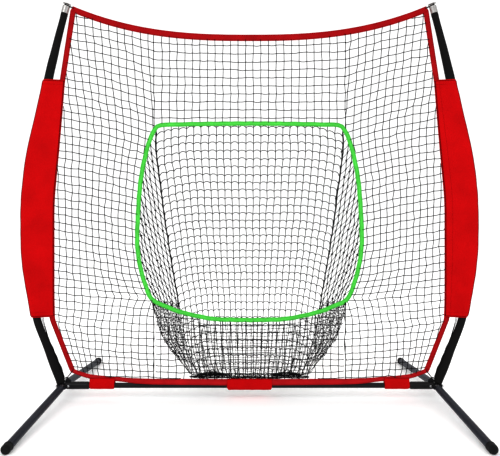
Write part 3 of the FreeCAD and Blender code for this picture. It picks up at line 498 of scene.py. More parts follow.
def icosahedron():
    t = (1 + math.sqrt(5)) / 2
    points = [(-1, t, 0), (1, t, 0), (-1, -t, 0), (1, -t, 0), (0, -1, t), (0, 1, t),
              (0, -1, -t), (0, 1, -t), (t, 0, -1), (t, 0, 1), (-t, 0, -1), (-t, 0, 1)]
    faces = [(0, 11, 5), (0, 5, 1), (0, 1, 7), (0, 7, 10), (0, 10, 11), (1, 5, 9), (5, 11, 4),
             (11, 10, 2), (10, 7, 6), (7, 1, 8), (3, 9, 4), (3, 4, 2), (3, 2, 6), (3, 6, 8),
             (3, 8, 9), (4, 9, 5), (2, 4, 11), (6, 2, 10), (8, 6, 7), (9, 8, 1)]
    return unit(np.array(points, float)), faces


ICO_POINTS, ICO_FACES = icosahedron()


def smooth_line(points):
    """A dense smooth line through a few points."""
    points = np.asarray(points, float)
    padded = np.concatenate([[2 * points[0] - points[1]], points, [2 * points[-1] - points[-2]]])
    out = []
    for a, b, c, d in zip(padded, padded[1:], padded[2:], padded[3:]):
        for t in np.arange(8) / 8:
            out.append(0.5 * (2 * b + (c - a) * t + (2 * a - 5 * b + 4 * c - d) * t ** 2
                              + (3 * b - a - 3 * c + d) * t ** 3))
    out.append(points[-1])
    return np.array(out)


# ---- netting
TWINE_R = 0.0020
KNOT_SIZE = np.array((0.0036, 0.0028, 0.0036))
MESH_X = 0.0428
JITTER = 0.0022
# How far a strand ends inside the tape round its panel
TUCK = 0.008
SAG = 0.0012


class Scatter:
    """Small seeded offsets at whole-numbered knots, read smoothly between them."""

    def __init__(self):
        self.table = rng.normal(0.0, 1.0, (80, 120, 3)).clip(-2, 2)

    def at(self, i, j):
        rows, columns = self.table.shape[:2]
        i0, j0 = math.floor(i), math.floor(j)
        fi, fj = i - i0, j - j0
        corners = [self.table[(i0 + a) % rows, (j0 + b) % columns] for a in (0, 1) for b in (0, 1)]
        low = corners[0] * (1 - fj) + corners[1] * fj
        high = corners[2] * (1 - fj) + corners[3] * fj
        return low * (1 - fi) + high * fi


def strands(place, columns, rows, arch, pieces=3, ways=(0, 1)):
    """Strands of netting along every column and row, cut where place gives None, and their knots.

    place(i, j) is a point at column i and row j, or None off the panel. Each strand starts and ends up to
    a cell beyond the first and last of the others. arch(way, share) lifts the middle of a cell's side.
    """
    lines = []
    for way in ways:
        fixed, free = (rows, columns) if way else (columns, rows)
        for n in fixed:
            lines += run_lines(lambda t: place(t, n) if way else place(n, t), free[0] - 1, free[-1] + 1,
                               lambda t: arch(way, t), pieces)
    knots = [place(i, j) for i in columns for j in rows]
    return lines, [knot for knot in knots if knot is not None]


def run_lines(along, low, high, lift, pieces):
    """The stretches of one strand that lie on the panel, each a line of points."""
    lines = []
    current = []
    previous_t, previous = None, None
    for tick in range(int((high - low) * pieces) + 1):
        t = low + tick / pieces
        point = along(t)
        if point is not None:
            if previous is None and previous_t is not None:
                current = [edge_point(along, t, previous_t)]
            current.append(point + lift((t - low) % 1.0))
        elif previous is not None:
            current.append(edge_point(along, previous_t, t))
            lines.append(current)
            current = []
        previous_t, previous = t, point
    if len(current) > 1:
        lines.append(current)
    return [carried_on(np.array(line), TUCK) for line in lines if len(line) > 1]


def edge_point(along, inside, outside):
    """The last point of a strand before it leaves the panel."""
    last = along(inside)
    for _ in range(7):
        middle = (inside + outside) / 2
        point = along(middle)
        if point is None:
            outside = middle
        else:
            inside, last = middle, point
    return last


def netting_piece(name, grids, *nodes, radius=TWINE_R, knot=KNOT_SIZE):
    """One piece of netting from the lines and knots of one or more grids."""
    parts = MeshParts()
    for lines, knots in grids:
        for line in lines:
            parts.tube(line, radius)
        for centre in knots:
            parts.blob(centre, knot * rng.uniform(0.85, 1.15), rng.uniform(0, math.pi))
    return parts.build(name, TWINE_BLACK, "black_netting", *nodes)


# Columns of the flat net beside the strike zone, at a few heights: the third column out from the rim's
# corner and the fourteenth, between which the others are evenly spaced
THIRD, LAST = 3, 14
COLUMN_HEIGHTS = (0.10, 0.25, 0.41, 0.45, 0.50, 0.535, 0.57, 0.60, 0.70, 0.85, 1.03, 1.25, 1.46, 1.585,
                  1.86, 2.2)
THIRD_COLUMN = (0.612, 0.6225, 0.62, 0.615, 0.606, 0.597, 0.580, 0.599, 0.635, 0.658, 0.662, 0.650, 0.622,
                0.626, 0.648, 0.664)
LAST_COLUMN = (1.09, 1.09, 1.09, 1.069, 1.067, 1.068, 1.0695, 1.069, 1.068, 1.067, 1.072, 1.075, 1.076,
               1.083, 1.118, 1.160)
CREASE_X = 0.5355
LOW_MESH_X = 0.0434
LOW_COLUMNS = 12
RIM_CORNER_Z = 0.56
LOW_LEAN_Z = 0.45
LOW_LEAN = 0.36
LEAN_FROM = 6

# Rows: height at the outer edge of the net, and how far each falls to the crease
ROW_EDGE_X = 1.07
ROW_ZERO_Z = 1.71
ROW_PITCH = 0.0452
ROW_LOW_N = -22
ROW_LOW_PITCH = 0.0413
LOW_NET_FIRST_N = -28
SIDE_COLUMNS, SIDE_ROWS = range(0, 17), range(-36, 13)
FALL_HEIGHTS = (0.15, 0.30, 0.46, 0.61, 0.78, 0.95, 1.30, 1.71, 2.11)
FALLS = (0.020, 0.053, 0.055, 0.046, 0.090, 0.108, 0.120, 0.1355, 0.121)
FALL_BENDS = (-0.4, -0.4, -0.4, -0.3, 0.0, 0.2, 0.3, 0.4, 0.3)


def side_column_x(k, z):
    third = np.interp(z, COLUMN_HEIGHTS, THIRD_COLUMN)
    last = np.interp(z, COLUMN_HEIGHTS, LAST_COLUMN)
    x = third + (last - third) * (k - THIRD) / (LAST - THIRD)
    if k < 1 and z < RIM_CORNER_Z:
        x = (LOW_COLUMNS - 0.5 + k) * LOW_MESH_X
    lean = max(0.0, LOW_LEAN_Z - z) * LOW_LEAN * (max(0.0, k - LEAN_FROM) / (LAST - LEAN_FROM)) ** 1.6
    return x - lean if 0 > k or k > 1 else max(x - lean, CREASE_X + 0.002)


def side_row_z(n, x):
    if n >= ROW_LOW_N:
        edge = ROW_ZERO_Z + ROW_PITCH * n
    else:
        edge = ROW_ZERO_Z + ROW_PITCH * ROW_LOW_N + ROW_LOW_PITCH * (n - ROW_LOW_N)
    fall = np.interp(edge, FALL_HEIGHTS, FALLS)
    bend = np.interp(edge, FALL_HEIGHTS, FALL_BENDS)
    share = (ROW_EDGE_X - x) / (ROW_EDGE_X - CREASE_X)
    return edge - fall * ((1 - bend) * share + bend * share * abs(share))


def flat_panel(node, x_of, z_of, side=1):
    """A place function for netting in the plane Y = 0, from its column and row rules."""
    scatter = Scatter()

    def place(i, j):
        z = z_of(j, 0.8)
        for _ in range(4):
            x = x_of(i, z)
            z = z_of(j, abs(x))
        offset = scatter.at(i + 20, j + 40) * JITTER
        return None if outline(node).depth(side * x, z) is None else np.array((side * x, 0.0, z)) + offset

    return place


def lifted(height, share):
    return np.array((0.0, 0.0, 4 * height * share * (1 - share)))


def slack(way, share):
    """A level strand hangs a little below its knots."""
    return lifted(-SAG if way else 0.0, share)


def arched(way, share):
    """The pocket's level strands stand up in small arches between their knots."""
    return lifted(ARCH if way else 0.0, share)


TOP_ROWS, LOW_ROWS = range(0, 12), range(-3, 9)
TOP_COLUMNS = [m + 0.5 for m in range(-12, 12)]
TOP_ZERO_Z = 1.5745
TOP_PITCH = 0.045
TOP_BOW = 0.0018
LOW_ZERO_Z = 0.4083
LOW_PITCH = 0.0385


def top_column_x(i, _):
    return i * MESH_X


def top_row_z(n, x):
    return TOP_ZERO_Z + TOP_PITCH * n + TOP_BOW * n * (x / CREASE_X) ** 2


def low_column_x(i, z):
    if abs(i) > LOW_COLUMNS:
        return math.copysign(side_column_x(abs(i) - LOW_COLUMNS + 0.5, z), i)
    return i * LOW_MESH_X


def low_row_z(j, x):
    share = min(1.0, x / CREASE_X)
    middle = LOW_ZERO_Z - LOW_PITCH * j
    return middle + (side_row_z(LOW_NET_FIRST_N - j, CREASE_X) - middle) * share ** 2


def flat_netting():
    for name, side in SIDES:
        place = flat_panel("net_" + name, side_column_x, side_row_z, side)
        grid = strands(place, SIDE_COLUMNS, SIDE_ROWS, slack)
        netting_piece("netting_" + name, [grid], "net_" + name)
    place = flat_panel("net_top", top_column_x, top_row_z)
    netting_piece("netting_top", [strands(place, TOP_COLUMNS, TOP_ROWS, slack)], "net_top")
    place = flat_panel("net_bottom", low_column_x, low_row_z)
    columns = [m + 0.5 for m in range(-LOW_COLUMNS - 2, LOW_COLUMNS + 2)]
    netting_piece("netting_bottom", [strands(place, columns, LOW_ROWS, slack)], "net_bottom")


# ---- catch pocket
POCKET_COLUMNS = 12.5
POCKET_MESH = 0.0462
POCKET_FIRST_ROW = 0.018
DROOP_START = 0.5
ROW_DROOP = 1.0
ARCH = 0.0092
SIDE_MESH = 0.029
SIDE_RISE = 0.033
POCKET_TWINE_R = 0.0022
FRONT_TWINE_R = 0.0011
SIDE_ROW_R = 0.0015
SIDE_KNOT = (1.25, 1.25, 2.5)
SIDE_BELOW_RIM = 0.03


class Pocket:
    """The catch pocket's walls, read from the frame once and then asked for points."""

    def __init__(self):
        self.back = outline("pocket_back")
        self.front = outline("pocket_front")
        low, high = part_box("pocket_right")
        self.levels = np.linspace(low.z + 0.004, high.z - 0.006, 70)
        rings = [outline("pocket_right").cut(2, level) for level in self.levels]
        self.creases = np.array([ring[ring[:, 1].argmax()] for ring in rings])
        self.fronts = np.array([ring[ring[:, 1].argmin()] for ring in rings])
        self.row_heights = self.rows_down_the_middle()

    def rows_down_the_middle(self):
        """Heights of the back panel's rows at the centre, one mesh apart along the cloth."""
        low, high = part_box("pocket_back")
        drop = np.linspace(0, 1, 400)
        heights = low.z + 0.0015 + (high.z - low.z - 0.004) * (1 - drop) ** 1.6
        profile = [(self.back.depth(0.0, z), z) for z in heights]
        profile = np.array([p for p in profile if p[0] is not None])
        along = distances(profile)
        wanted = np.arange(POCKET_FIRST_ROW, along[-1], POCKET_MESH)
        return np.interp(wanted, along, profile[:, 1])

    def row_z(self, r):
        """Height of a row, for a fractional row number too."""
        last = len(self.row_heights) - 1
        if r < 0:
            return self.row_heights[0] - r * POCKET_MESH
        if r > last:
            return self.row_heights[-1] - (r - last) * 0.003
        return float(np.interp(r, range(last + 1), self.row_heights))

    def at(self, edge, z):
        return np.array([np.interp(z, self.levels, edge[:, axis]) for axis in range(3)])

    def crease(self, z):
        return self.at(self.creases, z)

    def front_edge(self, z):
        return self.at(self.fronts, z)


def on_wall(wall, x, z, lift, offset, probe=1.0):
    """A point by the wall's front surface, or None beside the wall; probe keeps the test off its edge."""
    y = wall.depth(x * probe, z)
    return None if y is None else np.array((x, y + lift, z)) + offset


def pocket_back_place(pocket, scatter):
    def place(i, r):
        u = i / POCKET_COLUMNS
        droop = ROW_DROOP * max(0.0, (abs(u) - DROOP_START) / (1 - DROOP_START)) ** 2.2
        z = pocket.row_z(r + droop)
        x = u * pocket.crease(z)[0]
        return on_wall(pocket.back, x, z, 0.0014, scatter.at(i + 20, r + 10) * JITTER, 0.999)

    return place


def pocket_side_place(pocket, scatter, side, underside):
    rim_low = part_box("strike_zone_rim")[0].z
    squeeze_z = rim_low + 0.12
    cells = np.linalg.norm((pocket.front_edge(squeeze_z) - pocket.crease(squeeze_z))[:2]) / SIDE_MESH

    def place(i, r):
        z = pocket.row_z(r + ROW_DROOP) + SIDE_RISE * i
        if z > pocket.levels[-1] or z < pocket.levels[0] or i < 0:
            return None
        near = pocket.crease(z)
        far = pocket.front_edge(z)
        width = np.linalg.norm((far - near)[:2])
        pitch = SIDE_MESH if z > squeeze_z else width / cells
        share = i * pitch / width
        if share > 1.0:
            return None
        point = near + (far - near) * share
        if z < np.interp(point[0], *underside) - SIDE_BELOW_RIM:
            return None
        bulge = 0.006 * 4 * share * (1 - share)
        pleat = math.sqrt(max(0.0, SIDE_MESH ** 2 - pitch ** 2)) * 0.45 * math.cos(math.pi * i)
        across = unit(np.array((far[1] - near[1], near[0] - far[0], 0.0)))
        point = point - across * pleat * min(1.0, share * 5) + np.array((bulge, 0.0, 0.0))
        point += scatter.at(i + 3, r + 50) * JITTER
        point[0] *= side
        return point

    return place


def pocket_front_place(pocket, scatter):
    rim = outline("strike_zone_rim")
    low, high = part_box("pocket_front")
    widest = high.x
    stations = np.linspace(0.0, widest, 40)
    rim_z = [rim.cut(0, x + 0.0005)[:, 2].min() + 0.01 for x in stations]
    rows = 8.3
    front_levels = np.linspace(low.z + 0.003, high.z - 0.003, 40)
    widths = [pocket.front.cut(2, z)[:, 0].max() for z in front_levels]

    def place(i, j):
        x = i * MESH_X
        share = (j + 0.8) / rows
        for _ in range(2):
            top = np.interp(abs(x), stations, rim_z)
            z = top - (top - low.z) * share
            edge = np.interp(z, front_levels, widths)
            x = i * MESH_X * (1 - (1 - edge / widest) * (i * MESH_X / widest) ** 2)
        return on_wall(pocket.front, x, z, 0.001, scatter.at(i + 20, j + 10) * JITTER)

    return place


FINE_TWINE_R = 0.0012
FINE_KNOT = np.array((0.0026, 0.0022, 0.0026))
WANDER = 0.006


def bundle(parts, points, count, spread):
    """Netting gathered into a rope: twines that wind loosely round one line, with knots in it."""
    line = smooth_line(points)
    for _ in range(count):
        phase = rng.uniform(0, 2 * math.pi)
        turns = rng.uniform(3, 7)
        along = np.linspace(0, 1, len(line))
        angle = phase + turns * 2 * math.pi * along
        radius = spread * rng.uniform(0.4, 1.0) * (0.7 + 0.5 * np.sin(9 * along + phase))
        drift = rng.normal(0, WANDER, (len(line), 3)).cumsum(axis=0) * 0.12
        drift -= drift[-1] * along[:, None]
        wound = np.array((np.cos(angle), np.sin(angle) * 0.6, np.sin(angle) * 0.5))
        offset = (wound * radius).T
        path = line + offset + drift
        parts.tube(path, FINE_TWINE_R)
        for step in range(2, len(path) - 1, 4):
            parts.blob(path[step], FINE_KNOT, rng.uniform(0, math.pi))


def pocket_netting():
    pocket = Pocket()
    underside = rim_underside()
    rim_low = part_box("strike_zone_rim")[0].z
    row_count = len(pocket.row_heights)
    place = pocket_back_place(pocket, Scatter())
    grid = strands(place, TOP_COLUMNS, range(0, row_count + 1), arched)
    crease_lines = []
    for side in (-1, 1):
        for shift in (0.0, 0.004):
            heights = np.linspace(pocket.levels[-1] - 0.004, rim_low + 0.03, 90)
            line = [pocket.crease(z) * (side, 1, 1) + (side * shift, 0, 0) for z in heights]
            crease_lines.append(np.array(line) + rng.normal(0, 0.0008, (90, 3)))
    netting_piece("pocket_netting_back", [grid, (crease_lines, [])], "pocket_back", radius=POCKET_TWINE_R)
    place = pocket_front_place(pocket, Scatter())
    between = pocket_front_place(pocket, Scatter())
    fold_columns = [m * 0.97 + 0.1 for m in range(-12, 13)]
    grids = [strands(place, TOP_COLUMNS, range(0, 9), slack),
             strands(lambda i, j: between(i, j + 0.45), fold_columns, range(0, 8), slack)]
    netting_piece("pocket_netting_front", grids, "pocket_front", radius=FRONT_TWINE_R, knot=KNOT_SIZE * 0.8)
    for name, side in SIDES:
        place = pocket_side_place(pocket, Scatter(), side, underside)
        columns, rows = range(0, 14), range(-12, row_count + 1)
        upright, _ = strands(place, columns, rows, slack, ways=(0,))
        level, knots = strands(place, columns, rows, slack, ways=(1,))
        netting_piece("pocket_netting_" + name, [(upright, knots)], "pocket_" + name,
                      radius=POCKET_TWINE_R, knot=KNOT_SIZE * SIDE_KNOT)
        netting_piece("pocket_netting_rows_" + name, [(level, [])], radius=SIDE_ROW_R)
    pocket_folds(pocket, underside, rim_low)


def rim_underside():
    """The height of the rim's lower side at each distance from the middle, as two lists."""
    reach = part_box("strike_zone_rim")[1].x
    tree = outline("strike_zone_rim").tree
    places = np.linspace(0.0, reach - 0.03, 50)
    hits = [tree.ray_cast(Vector((x, 0.0, 0.0)), Vector((0.0, 0.0, 1.0)))[0] for x in places]
    return places, [hit.z + 0.01 for hit in hits]


FOLD_LAYERS = ((0.000, 0.055, 13), (0.016, -0.040, 11))
FOLD_ROW = 0.0165
FOLD_ROWS = 34
FOLD_JITTER = 0.0042
FOLD_TWINE_R = 0.00085
FOLD_INNER = 0.92
# Ropes at each side of the bag: the edge that each follows, how far over the rim's foot it starts, its
# points, its distance out at the top and at the bottom as a share of the edge's, its twines and spread
ROPES = (
    (Pocket.front_edge, 0.11, 9, 1.0, 1.0, 3, 0.005),
    (Pocket.crease, 0.04, 7, 1.0, 1.0, 3, 0.005),
    (Pocket.front_edge, -0.02, 6, 0.50, 0.70, 2, 0.003),
)
# The rolled lower edge: height of each lump of netting over the seam, and its length as a share
LUMPS = ((-0.002, 1.0), (0.011, 0.8))
# The middle of the lumps and half their length, as shares of the seam's half length
ROLL_MIDDLE, ROLL_HALF = 0.62, 0.26


def fold_place(pocket, side, depth, slant, cells, underside):
    """Slack netting folded up between the pocket's front corner and its crease, under the rim."""
    scatter = Scatter()
    bottom = pocket.levels[0]
    top = underside[1][-1] + 0.06

    def place(i, j):
        share = i / cells
        z = top - FOLD_ROW * j + slant * share
        if share < 0 or share > 1.02 or z < bottom:
            return None
        outer, inner = pocket.front_edge(z), pocket.crease(z)
        point = outer + (inner - outer) * share * FOLD_INNER
        limit = np.interp(point[0], *underside)
        if z > limit:
            return None
        room = min(1.0, (limit - z) / 0.08)
        point[1] -= depth * room * math.sin(math.pi * min(1.0, share)) + 0.004 * room
        point += scatter.at(i + 4, j + 4) * FOLD_JITTER * (0.4 + 0.6 * room)
        point[0] *= side
        return point

    return place


def pocket_folds(pocket, underside, rim_low):
    """Gathered netting: at the bag's front corners, down its creases and along the lower binding."""
    seam_z = pocket.levels[0] + 0.006
    for name, side in SIDES:
        parts = MeshParts()
        for depth, slant, cells in FOLD_LAYERS:
            place = fold_place(pocket, side, depth, slant, cells, underside)
            lines, knots = strands(place, range(0, cells + 1), range(0, FOLD_ROWS), slack, pieces=1)
            for line in lines:
                parts.tube(line, FOLD_TWINE_R)
            for centre in knots:
                parts.blob(centre, FINE_KNOT * rng.uniform(0.7, 1.5), rng.uniform(0, math.pi))
        for edge, above, count, out, last_out, twines, spread in ROPES:
            heights = np.linspace(rim_low + above, seam_z, count)
            path = [edge(pocket, z) * (side * share, 1, 1)
                    for z, share in zip(heights, np.linspace(out, last_out, count))]
            bundle(parts, path, twines, spread)
        parts.build("pocket_fold_" + name, TWINE_BLACK, "black_netting")
    parts = MeshParts()
    seam_x, seam_y, _ = pocket.front_edge(seam_z)
    level = [(x * seam_x, seam_y - 0.012, seam_z - 0.014) for x in np.linspace(-1, 1, 25)]
    bundle(parts, level, 9, 0.012)
    for side in (-1, 1):
        for height, reach in LUMPS:
            middle = seam_x * ROLL_MIDDLE
            half = seam_x * ROLL_HALF * reach
            lump = [(side * (middle + half * t), seam_y - 0.014, seam_z + height * (1 - t * t))
                    for t in (-1.0, -0.4, 0.3, 1.0)]
            bundle(parts, lump, 18, 0.009)
    parts.build("pocket_bottom_roll", TWINE_BLACK, "black_netting")


# ---- tape: bindings and rim
STITCH = 0.0035
STITCH_DEPTH = 0.0018
THREAD_R = 0.00045


def tape_ring(inner, outer, half, points=5):
    """The outline of a flat tape from its two edges and half its thickness: a closed ring of points."""
    ring = []
    for step in range(points):
        share = step / (points - 1)
        crown = 0.5 * math.sqrt(max(0.0, 1 - abs(2 * share - 1) ** 6)) if 0 < share < 1 else 0.12
        ring.append((share, -crown))
    ring += [(share, -crown) for share, crown in reversed(ring)]
    return np.array([inner + (outer - inner) * share + WORLD_Y * 2 * half * crown for share, crown in ring])


def tape_strip(inner, outer, half):
    """The rings of a tape with rounded edges between two lines of points, slightly rippled."""
    rings = np.array([tape_ring(*station) for station in zip(inner, outer, half)])
    return rings + np.sin(np.arange(len(rings)) * 0.9)[:, None, None] * WORLD_Y * 0.00025


def sewn(name, lines, shader, slot):
    """Threads that dip in and out of the cloth along the lines, seen as rows of stitches."""
    parts = MeshParts()
    for line in lines:
        along = distances(line)
        count = max(4, int(along[-1] / STITCH) * 4)
        ticks = np.linspace(0, along[-1], count)
        dense = np.stack([np.interp(ticks, along, line[:, axis]) for axis in range(3)], axis=1)
        dip = np.sin(np.arange(count) * math.pi / 2 + 0.4)[:, None] * WORLD_Y * THREAD_R * 1.4
        parts.tube(dense + dip, THREAD_R, sides=4)
    parts.build(name, shader, slot)


TAPE_HALF_T = 0.0019
LAP = 0.022
LAP_HALF_T = 0.0015


def binding_edges(node, axis, stations):
    """The two edges of a binding strip at each station along it, and half the tape's thickness.

    A side strip is cut where its slanting ends begin, and carried on under the strips it meets.
    """
    other = 2 if axis == 0 else 0
    inner, outer = [], []
    for value in stations:
        ring = outline(node).cut(axis, value)
        low, high = ring[:, other].min(), ring[:, other].max()
        low_y = ring[ring[:, other] < low + 0.002, 1].mean()
        high_y = ring[ring[:, other] > high - 0.002, 1].mean()
        for target, coordinate, depth in ((inner, low, low_y), (outer, high, high_y)):
            point = np.zeros(3)
            point[axis], point[other] = value, coordinate
            point[1] = depth
            target.append(point)
    inner, outer = np.array(inner), np.array(outer)
    if axis == 2:
        widths = np.linalg.norm(outer - inner, axis=1)
        full = np.nonzero(widths > 0.96 * np.median(widths))[0]
        inner, outer = [carried_on(edge[full[0]:full[-1] + 1], LAP, 3) for edge in (inner, outer)]
    half = np.full(len(inner), TAPE_HALF_T)
    if axis == 2:
        half[[0, -1]] = LAP_HALF_T
    return inner, outer, half


def bindings():
    for name, axis, count in (("top", 0, 150), ("bottom", 0, 150), ("left", 2, 140), ("right", 2, 140)):
        node = "binding_" + name
        low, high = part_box(node)
        spread = np.linspace(low[axis] + 0.0006, high[axis] - 0.0006, count)
        inner, outer, half = binding_edges(node, axis, spread)
        parts = MeshParts()
        parts.skin(tape_strip(inner, outer, half))
        cloth = BRIGHT_TAPE if name == "bottom" else RED_TAPE
        piece = parts.build("tape_" + name, cloth, "red_webbing", node)
        length = float(distances((inner + outer) / 2)[-1])
        lines = []
        for share in (0.16, 0.84):
            middle = (inner + (outer - inner) * share)[3:-3]
            lines += [middle - WORLD_Y * STITCH_DEPTH, middle + WORLD_Y * STITCH_DEPTH]
        sewn("stitches_" + name, lines, RED_THREAD, "red_webbing")


RIM_HALF = 0.0122
RIM_HALF_T = 0.0027


def rim_line():
    """The strike-zone rim's centre line, from rays out of its middle."""
    low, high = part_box("strike_zone_rim")
    tree = outline("strike_zone_rim").tree
    centre = Vector((0.0, 0.0, (low.z + high.z) / 2))
    middle = []
    for angle in angles_round(220):
        direction = Vector((math.cos(angle), 0.0, math.sin(angle)))
        first = tree.ray_cast(centre, direction)[0]
        second = tree.ray_cast(first + direction * 0.0005, direction)[0]
        middle.append((np.array(first) + np.array(second)) / 2)
    return np.array(middle)


def rim():
    middle = rim_line()
    tangents = unit(np.roll(middle, -1, axis=0) - np.roll(middle, 1, axis=0))
    outwards = np.cross(tangents, WORLD_Y)
    ripple = 0.0007 * np.sin(np.arange(len(middle)) * 1.3)[:, None]
    edge_in = middle - outwards * (RIM_HALF + ripple)
    edge_out = middle + outwards * (RIM_HALF - ripple)
    parts = MeshParts()
    parts.skin(looped(tape_strip(edge_in, edge_out, [RIM_HALF_T] * len(middle))), caps=False)
    piece = parts.build("rim_tape", GREEN_TAPE, "green_webbing", "strike_zone_rim")
    float(distances(looped(middle))[-1])
    lines = []
    for share in (-0.6, 0.6):
        for face in (-RIM_HALF_T, RIM_HALF_T):
            lines.append(looped(middle + outwards * RIM_HALF * share + WORLD_Y * face * 0.97))
    sewn("rim_stitches", lines, GREEN_THREAD, "green_webbing")


# ---- fabric sleeves on the poles
CLOTH_T = 0.0011
# How far the side sleeves reach over the side bindings, and their radii at the pole and at that edge
SLEEVE_LAP = 0.0305
SLEEVE_POLE_R = 0.0268
SLEEVE_EDGE_R = 0.0042
POLE_COVER_R = ((0.0, 0.0238), (0.08, 0.0242), (0.2, 0.0215), (0.4, 0.0213), (1.0, 0.0222), (1.6, 0.0235),
                (1.76, 0.0245), (1.85, 0.0232), (1.97, 0.0205), (2.06, 0.0188))
AROUND = 40
COVER_RINGS = 300
COVER_HEM = 0.0007
HEM_AT = 0.012
HEM_WIDTH = 0.008


def pole_cover(name, side):
    """The black sleeve: a long tube of cloth, loose in places and gathered where it bends."""
    low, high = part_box("pole_sleeve_" + name)
    heights = np.linspace(low.z + 0.0015, high.z - 0.0045, COVER_RINGS)
    centres = pole_centre(name, heights)
    tangents = unit(np.gradient(centres, axis=0))
    sideways = np.cross(WORLD_Y, tangents)
    lengths = distances(centres)
    base = np.interp(lengths, *zip(*POLE_COVER_R))
    angles = angles_round(AROUND)
    waves = np.zeros((len(heights), AROUND))
    for _ in range(14):
        turn, climb = rng.integers(1, 5), rng.uniform(6, 42)
        size, phase = rng.uniform(0.2, 1.0), rng.uniform(0, 6.3)
        waves += size * np.sin(turn * angles[None] + climb * lengths[:, None] + phase)
    loose = 0.00016 + 0.00022 * np.exp(-((lengths - 1.79) / 0.09) ** 2) + 0.0003 * np.exp(-lengths / 0.12)
    radii = base[:, None] + waves * loose[:, None]
    for place in (HEM_AT, lengths[-1] - HEM_AT):
        radii += COVER_HEM * np.exp(-((lengths - place) / HEM_WIDTH) ** 2)[:, None]
    ring = sideways[:, None] * np.cos(angles)[None, :, None] + WORLD_Y * np.sin(angles)[None, :, None]
    outer = centres[:, None] + ring * radii[:, :, None]
    inner = centres[:, None] + ring * (radii - CLOTH_T)[:, :, None]
    parts = MeshParts()
    parts.shell(outer, inner)
    piece = parts.build("pole_cover_" + name, BLACK_WOVEN, "black_fabric", "pole_sleeve_" + name)
    lines = [looped(outer[level] + ring[level] * 0.0001) for level in (8, -9)]
    sewn("pole_cover_stitches_" + name, lines, BLACK_THREAD, "black_fabric")
    sleeve_seam(name, side, heights, outer, sideways)


SEAM_LEVELS = ((0.10, 0.004), (0.15, 0.011), (0.22, 0.010), (0.30, 0.007), (0.37, 0.004))
SEAM_HALF_T = 0.0009
SLEEVE_CORD_R = 0.0016
CORD_LEVELS = ((0.34, 0.003, 0.0045), (0.40, 0.0065, 0.011), (0.455, 0.0075, 0.0155), (0.475, 0.0075, 0.0165))


def sleeve_seam(name, side, heights, outer, sideways):
    """The black sleeve's sewn edge on the net's side, and the two lacing cords that run up from it."""
    towards_net = outer[:, AROUND // 2] if side > 0 else outer[:, 0]
    inward = -side * np.abs(sideways[:, :1]) * np.array((1.0, 0.0, 0.0))
    levels, widths = zip(*SEAM_LEVELS)
    chosen = (heights > levels[0]) & (heights < levels[-1])
    base = towards_net[chosen]
    width = np.interp(heights[chosen], levels, widths)
    ripple = 0.0012 * np.sin(np.arange(len(base)) * 0.8) + 0.0008 * np.sin(np.arange(len(base)) * 0.33)
    near = base - inward[chosen] * 0.002
    far = base + inward[chosen] * (width + ripple)[:, None]
    half = WORLD_Y * SEAM_HALF_T
    rings = np.stack([near - half, near + half, far + half, far - half], axis=1)
    parts = MeshParts()
    parts.skin(rings)
    levels, first, second = zip(*CORD_LEVELS)
    chosen = (heights > levels[0]) & (heights < levels[-1])
    for offsets in (first, second):
        reach = np.interp(heights[chosen], levels, offsets)
        parts.tube(towards_net[chosen] + inward[chosen] * reach[:, None], SLEEVE_CORD_R)
    parts.build("pole_cover_seam_" + name, BLACK_WOVEN, "black_fabric")


SLEEVE_ARC_POINTS = 16
SLEEVE_BOW = 0.10
SLEEVE_FOLD = 0.00035
SLEEVE_HEM = 0.0006


def teardrop_ring(pole_x, net_x, inset):
    """One level of the side sleeve at +X: round the pole, then two nearly flat sides to the net's edge."""
    count, big, small = SLEEVE_ARC_POINTS, SLEEVE_POLE_R - inset, SLEEVE_EDGE_R - inset
    lean = math.asin((big - small) / (pole_x - net_x))
    ring = []
    for step in range(count + 1):
        angle = -(math.pi / 2 + lean) + (math.pi + 2 * lean) * step / count
        ring.append((pole_x + big * math.cos(angle), big * math.sin(angle)))
    start, end = np.array(ring[-1]), np.array((net_x, small))
    flat = []
    for step in range(1, count):
        share = step / count
        point = start + (end - start) * share
        flat.append((point[0], point[1] * (1 - SLEEVE_BOW * math.sin(math.pi * share))))
    ring += flat
    for step in range(5):
        angle = math.pi / 2 + math.pi * step / 4
        ring.append((net_x + small * math.cos(angle), small * math.sin(angle)))
    ring += [(x, -y) for x, y in reversed(flat)]
    return np.array(ring)


